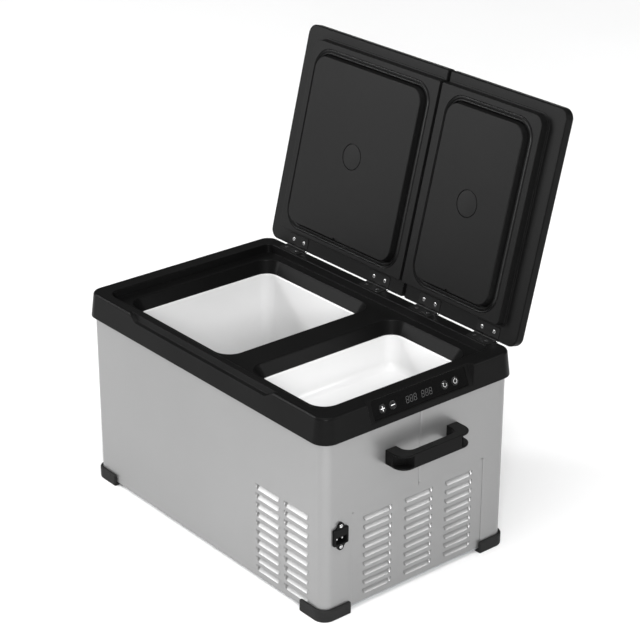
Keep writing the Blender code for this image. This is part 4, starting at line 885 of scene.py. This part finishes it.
for word, y in pin_places:
    pin_profile = [(0, FIT), (0.0012, FIT), (0.0017, FIT - 0.0003), (0.002, FIT - 0.001), (0.002, -0.0122),
                   (0, -0.0122)]
    pin = moved(turned(pin_profile, 24), inlet_place @ Matrix.Translation((0, y, inlet_drop)) @ FACE_OUT)
    place_piece(f"{word}_pin", shaded(pin, 40), bright_steel, "cabinet", "bright_steel", f"inlet_pin_{word}")


def screw_head(radius, rise):
    """A low domed head with a cross recess, its underside at Z = 0."""
    profile = [(radius * share, rise * (1 - share ** 2 * 0.55)) for share in (0, 0.35, 0.65, 0.88)]
    profile += [(radius, rise * 0.28), (radius, -0.0004), (0, -0.0004)]
    slots = []
    for turn in (0, pi / 2):
        slot_cut = block(centred(radius * 1.15, radius * 0.26), radius * 0.06, rise - 0.0005, rise + 0.001, 2)
        slots.append(("DIFFERENCE", moved(slot_cut, Matrix.Rotation(turn, 4, "Z"))))
    return shaped(turned(profile, 24), *slots)


def screws_on_points_tree():
    """Sets a screw at each point it is given, turned to one facing and driven to a chance angle."""
    inputs = {"Places": "Geometry", "Screw": "Object", "Facing": "Vector", "Seed": "Int", "Steel": "Material"}
    tree, given, result = new_tree("screws_on_points", "GeometryNodeTree", inputs, {"Screws": "Geometry"})
    template = added(tree, "GeometryNodeObjectInfo")
    chance = added(tree, "FunctionNodeRandomValue")
    chance.data_type = "FLOAT"
    for label, limit in (("Min", 0.0), ("Max", pi / 2)):
        bound = [socket for socket in chance.inputs if socket.name == label and socket.type == "VALUE"][0]
        bound.default_value = limit
    angle = [socket for socket in chance.outputs if socket.type == "VALUE"][0]
    driven = added(tree, "ShaderNodeCombineXYZ")
    facing = added(tree, "FunctionNodeEulerToRotation")
    spin = added(tree, "FunctionNodeEulerToRotation")
    both = added(tree, "FunctionNodeRotateRotation")
    both.rotation_space = "LOCAL"
    repeat = set_on_points(tree, given["Places"], template.outputs["Geometry"], given["Steel"], result["Screws"])
    wire(tree, (given["Screw"], template.inputs["Object"]), (given["Seed"], chance.inputs["Seed"]),
         (angle, driven.inputs["Z"]), (given["Facing"], facing.inputs[0]), (driven.outputs[0], spin.inputs[0]),
         (facing.outputs[0], both.inputs[0]), (spin.outputs[0], both.inputs[1]),
         (both.outputs[0], repeat.inputs["Rotation"]))
    return tree


SCREWS = screws_on_points_tree()


def drive_screws(name, head, places, facing, seed, body):
    """Screws at points of one body, as one piece."""
    points = bpy.data.meshes.new("places")
    points.from_pydata(places, [], [])
    template = linked("screw", head)
    made = grown_by_nodes(points, SCREWS, {"Screw": template, "Facing": facing, "Seed": seed, "Steel": bright_steel})
    bpy.data.objects.remove(template, do_unlink=True)
    place_piece(name, shaded(made), bright_steel, body, "bright_steel")


inlet_screws = [inlet_place @ Vector((FIT + ear_thickness, 0, side * ear_step)) for side in (-1, 1)]
drive_screws("inlet_screws", screw_head(0.0030, 0.0013), inlet_screws, (0, pi / 2, 0), 3, "cabinet")


# Handles: black moulded bows with a rounded grip, one fixed to each end of the body, with open pockets in
# the outer bends that keep the moulding's wall even.
handle_half = 0.068
handle_out = 0.036
handle_height = 0.0225
handle_post, handle_grip = 0.020, 0.013
pocket_lip, pocket_end = 0.0027, 0.0045
pocket_root = (handle_out - 0.0135, -0.0185)


def handle_mesh():
    """A bow that stands out along X. Its post and grip are how thick it is at the ends and in the hand."""
    outer, inner = 0.018, 0.014
    post = handle_half - handle_post
    grip = handle_out - handle_grip
    outline = [(0, -handle_half)]
    outline += swing((handle_out - outer, -handle_half + outer), outer, -90, 0, 14)
    outline += swing((handle_out - outer, handle_half - outer), outer, 0, 90, 14)
    outline += [(0, handle_half), (0, post)]
    outline += swing((grip - inner, post - inner), inner, 90, 0, 12)
    outline += swing((grip - inner, -post + inner), inner, 0, -90, 12)
    outline += [(0, -post)]
    bow = skin([level(outline, z) for z in (-handle_height / 2, handle_height / 2)])
    slot = handle_height / 2 - 0.003
    near = handle_out - outer - pocket_lip
    far = -outer - pocket_end
    reach = [(handle_out - pocket_lip, far), (handle_out + outer, far), (handle_out + outer, outer), (near, outer),
             (near, -pocket_end), pocket_root]
    pockets = []
    for side in (-1, 1):
        corners = [(x, side * (handle_half + y)) for x, y in reach]
        pockets.append(("DIFFERENCE", skin([level(corners, z) for z in (-slot, slot)])))
    return softened(shaped(bow, *pockets), 0.0009, 3)


for word, end in (("right", 1), ("left", -1)):
    place = BODY @ Matrix.Translation((end * (half_x + FIT), 0.004, 0.2284))
    if end < 0:
        place = place @ Matrix.Rotation(pi, 4, "Z")
    place_piece(f"{word}_bow", moved(handle_mesh(), place), black_plastic, "cabinet", "black_moulding",
                f"{word}_handle")


# Lids: each a black moulded cover over foam, closed below by a charcoal lining with a raised frame, a groove
# for the seal and a raised middle panel with a round plug. Both stand open on their hinges.
plug_charcoal = finish("plug_charcoal", grey(0.005), grey(0.007), (0.50, 0.62), 800.0, tone=20.0, height=0.00004,
                       Specular_IOR_Level=0.16)
charcoal = finish("charcoal_lining", grey(0.0042), grey(0.0056), (0.40, 0.50), 1100.0, tone=5.0, height=0.00005,
                  Specular_IOR_Level=0.12)
seal_rubber = finish("seal_rubber", grey(0.0042), grey(0.0056), (0.36, 0.46), 500.0, tone=40.0, height=0.00002,
                     Specular_IOR_Level=0.25)
lid_open = radians(103.85)
LID = BODY @ Matrix.Translation((0, axis_y, rim_top)) @ Matrix.Rotation(-lid_open, 4, "X")
lid_gap = 0.0019
lid_top = lid_gap + 0.0163
lid_end = 0.2840
lid_front = 0.0020 - rim_y - axis_y
lid_back = 0.0005
split = {"left_lid": 0.0395, "right_lid": 0.0440}
lining_sheet = 0.0019
frame_face_z = lid_gap - 0.013
groove_floor = frame_face_z + 0.005
centre_z = frame_face_z - 0.0085
centre_corner = 0.025
centre_draft = 0.0034
centre_wall = 0.0045
centre_gap = 0.0022
groove_width = 0.0085
lid_corner, split_corner = 0.016, 0.003
frame_gap = 0.0018
strip_proud = 0.0022
plug_radius = 0.0205
notch_half = 0.007


def lid_outline(name):
    """The lid's box on its hinge line, and its corners."""
    if name == "left_lid":
        return (-lid_end, split[name], lid_front, lid_back), (split_corner, lid_corner, lid_corner, split_corner)
    return (split[name], lid_end, lid_front, lid_back), (lid_corner, split_corner, split_corner, lid_corner)


def lid_ring(name, by, z):
    box, radii = lid_outline(name)
    return flat_ring(grown(box, by), [max(radius + by, small_corner) for radius in radii], z, 12)


def leaf_seats(name):
    half = hinge_length / 2 + FIT
    return [("DIFFERENCE", block((x - half, x + half, -leaf_depth - FIT, barrel), small_corner,
                                 -lid_gap, lid_gap + leaf_seat, 2)) for x in hinge_x[name]]


def cover_mesh(name):
    """The lid's outside: a rounded tray, hollow below, with a rabbet for the lining and seats for the hinges."""
    outlines = eased_foot(0.001, 3, lid_gap) + eased_brow(0.005, 0.005, 7, lid_top)
    rings = [lid_ring(name, -inset, z) for inset, z in outlines]
    rabbet = skin([lid_ring(name, -0.0012, z) for z in (lid_gap - 0.001, lid_gap + lining_sheet + FIT)])
    hollow = skin([lid_ring(name, -0.004, z) for z in (lid_gap, lid_top - 0.0028)])
    rooms = [("DIFFERENCE", rabbet), ("DIFFERENCE", hollow)]
    return softened(shaped(skin(rings), *rooms, *leaf_seats(name)), 0.0003)


def lining_boxes(name):
    """The raised frame's foot and its corners, the groove, and the middle panel's foot."""
    box = lid_outline(name)[0]
    x0, x1, y0, y1 = grown(recess, -frame_gap)
    foot = (max(box[0] + 0.0004, x0), min(box[1] - 0.0004, x1), y0 - axis_y, y1 - axis_y)
    at_split = (0, 3) if name == "left_lid" else (1, 2)
    corners = [0.004 if i in at_split else radius - frame_gap for i, radius in enumerate(recess_corners)]
    x0, x1, y0, y1 = deep_well if name == "left_lid" else shallow_well
    centre = grown((x0, x1, y0 - axis_y, y1 - axis_y), funnel_mouth - centre_gap)
    return foot, corners, grown(centre, groove_width), centre


def middle_of(box):
    return (box[0] + box[1]) / 2, (box[2] + box[3]) / 2


def from_split(name, box, by):
    """The box with its edge at the split drawn back."""
    x0, x1, y0, y1 = box
    return (x0, x1 - by, y0, y1) if name == "left_lid" else (x0 + by, x1, y0, y1)


def lining_mesh(name):
    """The lid's inside: a sheet with the raised frame, the seal's groove and the hollow middle panel."""
    foot, corners, groove_box, centre = lining_boxes(name)
    sheet = skin([lid_ring(name, -0.0015, z) for z in (lid_gap, lid_gap + lining_sheet)])
    sheet_middle = lid_gap + lining_sheet / 2
    face = from_split(name, grown(foot, -recess_draft), -recess_draft)
    raised = [flat_ring(grown(face, -inset), [radius - recess_draft - inset for radius in corners], z, 12)
              for inset, z in eased_foot(0.0008, 3, frame_face_z)]
    raised.append(flat_ring(foot, corners, lid_gap - FIT, 12))
    neck = block(from_split(name, foot, 0.0015), corners, lid_gap - lining_sheet, sheet_middle, 12)
    strip = block(from_split(name, grown(foot, strip_proud), 0.0040), [radius + strip_proud for radius in corners],
                  lid_gap - 0.0008, sheet_middle, 12)
    groove_cut = block(groove_box, centre_corner + groove_width, centre_z - 0.001, groove_floor, 12)

    def middle(inset, low, high, ease):
        rings = [flat_ring(grown(centre, -by), centre_corner - by, z, 12)
                 for by, z in [(centre_draft + inset + eased, z) for eased, z in eased_foot(ease, 4, low)]]
        return skin([*rings, flat_ring(grown(centre, -inset), centre_corner - inset, high, 12)])

    x, y = middle_of(centre)
    back = groove_floor + lining_sheet
    seat = rod(plug_radius + FIT, centre_z - 0.001, centre_z + 0.0025, sides=56)
    edge = centre[3] - centre_draft
    notch = block((x - notch_half, x + notch_half, edge - 0.003, edge + 0.0034), small_corner, centre_z - FIT,
                  centre_z + 0.003, 2)
    pocket_cut = block(grown(groove_box, 0.003), centre_corner + groove_width, back, lid_gap + lining_sheet + FIT, 12)
    hollow = middle(centre_wall, centre_z + centre_wall, back + FIT, 0.0005)
    steps = [("UNION", neck), ("UNION", strip), ("UNION", skin(raised)), ("DIFFERENCE", groove_cut),
             ("UNION", middle(0, centre_z, back, 0.0014)), ("DIFFERENCE", pocket_cut), ("DIFFERENCE", hollow),
             ("DIFFERENCE", moved(seat, Matrix.Translation((x, y, 0)))), ("DIFFERENCE", notch)]
    return softened(shaped(sheet, *steps, *leaf_seats(name)), 0.0003)


def seal_mesh(name):
    """A ribbed seal almost flush with the frame, its middle rib tall enough to meet the ledge of the top frame."""
    groove_box = lining_boxes(name)[2]
    half = [(0, 0), (0, 0.62), (0.04, 0.74), (0.11, 0.78), (0.18, 0.74), (0.22, 0.60), (0.27, 0.60), (0.31, 0.74),
            (0.38, 0.80), (0.44, 0.86)]
    section = half + [(0.50, 1.0)] + [(1 - across, up) for across, up in reversed(half)]
    side_gap = 0.0007
    bottom = groove_floor - FIT
    height = bottom - (ledge_z - rim_top + 0.0006)
    rings = []
    for across, up in section:
        inset = side_gap + across * (groove_width - 2 * side_gap)
        corner = centre_corner + groove_width - inset
        rings.append(flat_ring(grown(groove_box, -inset), corner, bottom - up * height, 12))
    return shaded(skin(rings, closed=True), 40)


def plug_mesh(name):
    """The round plug in the middle panel, with a fine groove round it."""
    centre = lining_boxes(name)[3]
    profile = [(0, 0.0022), (plug_radius, 0.0022), (plug_radius, 0.0016), (0.0197, 0.0014), (0.0197, 0.0003),
               (0.0194, 0.00008), (0.0189, 0), (0, 0)]
    return moved(shaded(turned(profile, 56), 40), Matrix.Translation((*middle_of(centre), centre_z)))


for name in ("left_lid", "right_lid"):
    for word, mesh, material, slot, node in (
            ("shell", cover_mesh(name), black_plastic, "black_moulding", "cover"),
            ("inner_face", lining_mesh(name), charcoal, "lid_lining", "lining"),
            ("bellows", seal_mesh(name), seal_rubber, "seal_rubber", "seal"),
            ("disc", plug_mesh(name), plug_charcoal, "lid_lining", "plug")):
        place_piece(f"{name}_{word}", moved(mesh, LID), material, name, slot, f"{name}_{node}")


# Hinges: black coated steel butt hinges with steel pins, let into shallow seats in the frame and the lid,
# each leaf held by two bright screws. The frame's leaf has two knuckles and the lid's leaf one between them.
pin_radius = 0.0012
bore_gap = 0.0001
leaf = 0.0012
leaf_corner = 0.003
knuckle_gap = 0.0004
web = hinge_length / 6
half_hinge = hinge_length / 2
screw_x, screw_y = 0.0125, -0.0110


def knuckle(start, end):
    return rod(barrel, start, end, "X", 24)


def leaf_plate(low, high, gaps):
    """A leaf with rounded outer corners, notched over the gaps where the other leaf's knuckles turn."""
    outline = round_box((-half_hinge, half_hinge, -leaf_depth, 0), (0.0004, 0.0004, leaf_corner, leaf_corner), 5)
    plate = skin([level(outline, z) for z in (low, high)])
    notches = [block((*gap, -barrel - 2 * knuckle_gap, 0.004), 0.0002, low - 0.002, high + 0.002, 1) for gap in gaps]
    return plate, [("DIFFERENCE", notch) for notch in notches]


head = screw_head(0.0029, 0.0002)
seat = FIT - leaf_seat
face = lid_gap + leaf_seat - FIT
for name in ("left_lid", "right_lid"):
    rim_screws, lid_screws = [], []
    for index, x in enumerate(hinge_x[name]):
        label = f"{name}_hinge_{index + 1}"
        at_rim = BODY @ Matrix.Translation((x, axis_y, rim_top))
        at_lid = LID @ Matrix.Translation((x, 0, 0))
        plate, gaps = leaf_plate(seat, seat + leaf, [(-web - knuckle_gap, web + knuckle_gap)])
        joins = [("UNION", knuckle(-half_hinge, -web - knuckle_gap)),
                 ("UNION", knuckle(web + knuckle_gap, half_hinge))]
        bore = ("DIFFERENCE", rod(pin_radius + bore_gap, -hinge_length, hinge_length, "X", 24))
        rim_leaf = softened(shaped(plate, *gaps, *joins, bore), 0.0002)
        place_piece(f"{label}_lower", moved(rim_leaf, at_rim), black_steel, "cabinet", "hinge_black",
                    f"{label}_rim_leaf")
        plate, gaps = leaf_plate(face - leaf, face, [(-half_hinge - FIT, -web), (web, half_hinge + FIT)])
        neck = block((-web, web, -barrel, 0), 0.0002, 0, face, 1)
        lid_leaf = softened(shaped(plate, *gaps, ("UNION", neck), ("UNION", knuckle(-web, web)), bore), 0.0002)
        place_piece(f"{label}_upper", moved(lid_leaf, at_lid), black_steel, name, "hinge_black",
                    f"{label}_lid_leaf")
        pin_profile = [(0, half_hinge + pin_head), (0.0011, half_hinge + 0.0016), (0.0017, half_hinge + 0.0011),
                       (0.0017, half_hinge + FIT), (pin_radius, half_hinge + FIT), (pin_radius, -half_hinge + 0.0002),
                       (0.0010, -half_hinge), (0, -half_hinge)]
        pin = moved(turned(pin_profile, 24), at_rim @ FACE_OUT)
        place_piece(f"{label}_rod", shaded(pin, 40), bright_steel, "cabinet", "bright_steel", f"{label}_pin")
        for across in (-screw_x, screw_x):
            rim_screws.append(at_rim @ Vector((across, screw_y, seat + leaf)))
            lid_screws.append(at_lid @ Vector((across, screw_y, face - leaf)))
    drive_screws(f"{name}_frame_screws", head, rim_screws, (0, 0, 0), 5, "cabinet")
    drive_screws(f"{name}_leaf_screws", head, lid_screws, (pi - lid_open, 0, 0), 9, name)


# Stage: a plain pale floor, soft light from large panels and a pale surround, and the camera where the
# photograph was taken from.
floor_mesh = bpy.data.meshes.new("floor")
floor_mesh.from_pydata([(-9, -9, 0), (9, -9, 0), (9, 9, 0), (-9, 9, 0)], [], [(0, 1, 2, 3)])
floor_mesh.materials.append(finish("pale_floor", grey(0.90), grey(0.94), (0.75, 0.85), 3.0, tone=0.6, height=0.0001))
floor = linked("floor", floor_mesh)

world = bpy.data.worlds.new("pale_surround")
scene.world = world
world.use_nodes = True
with_values(world.node_tree.nodes["Background"], {"Color": (1, 1, 1, 1), "Strength": 0.15})


def hung_light(kind, name, place, heading, power):
    """A light of one kind, turned to shine along its heading."""
    light = bpy.data.lights.new(name, kind)
    light.energy = power
    lamp = linked(name, light)
    lamp.location = place
    lamp.rotation_euler = Vector(heading).to_track_quat("-Z", "Y").to_euler()
    return light


def soft_panel(name, place, target, size, power):
    light = hung_light("AREA", name, place, Vector(target) - Vector(place), power)
    light.shape = "RECTANGLE"
    light.size, light.size_y = size


def far_light(name, heading, strength, spread):
    light = hung_light("SUN", name, (0, 0, 0), heading, strength)
    light.angle = radians(spread)


far_light("overhead_light", (-0.15, 0.15, -1), 2.2, 60)
far_light("edge_light", (0.70, 0.40, -0.57), 0.9, 9)
soft_panel("key_panel", (1.75, -1.25, 1.15), (0, 0, 0.2), (0.6, 0.6), 36)
soft_panel("left_panel", (-2.0, -2.15, 1.3), (0.1, -0.1, 0.1), (1.35, 1.35), 46)
soft_panel("back_panel", (1.85, 1.35, 1.25), (0.2, 0, 0.1), (1.0, 0.6), 14)

camera_data = bpy.data.cameras.new("photo_camera")
camera_data.sensor_width = 36
camera_data.lens = 109.78
camera = linked("photo_camera", camera_data)
right = Vector((0.6381, 0.7699, 0.0028)).normalized()
back = Vector((0.6997, -0.5814, 0.4151)).normalized()
up = back.cross(right).normalized()
right = up.cross(back).normalized()
stance = Matrix((right, up, back)).transposed().to_4x4()
camera.matrix_world = Matrix.Translation((2.06056586, -1.66178212 + MID_Y, 1.52812286)) @ stance
scene.camera = camera
scene.view_settings.view_transform = "Standard"
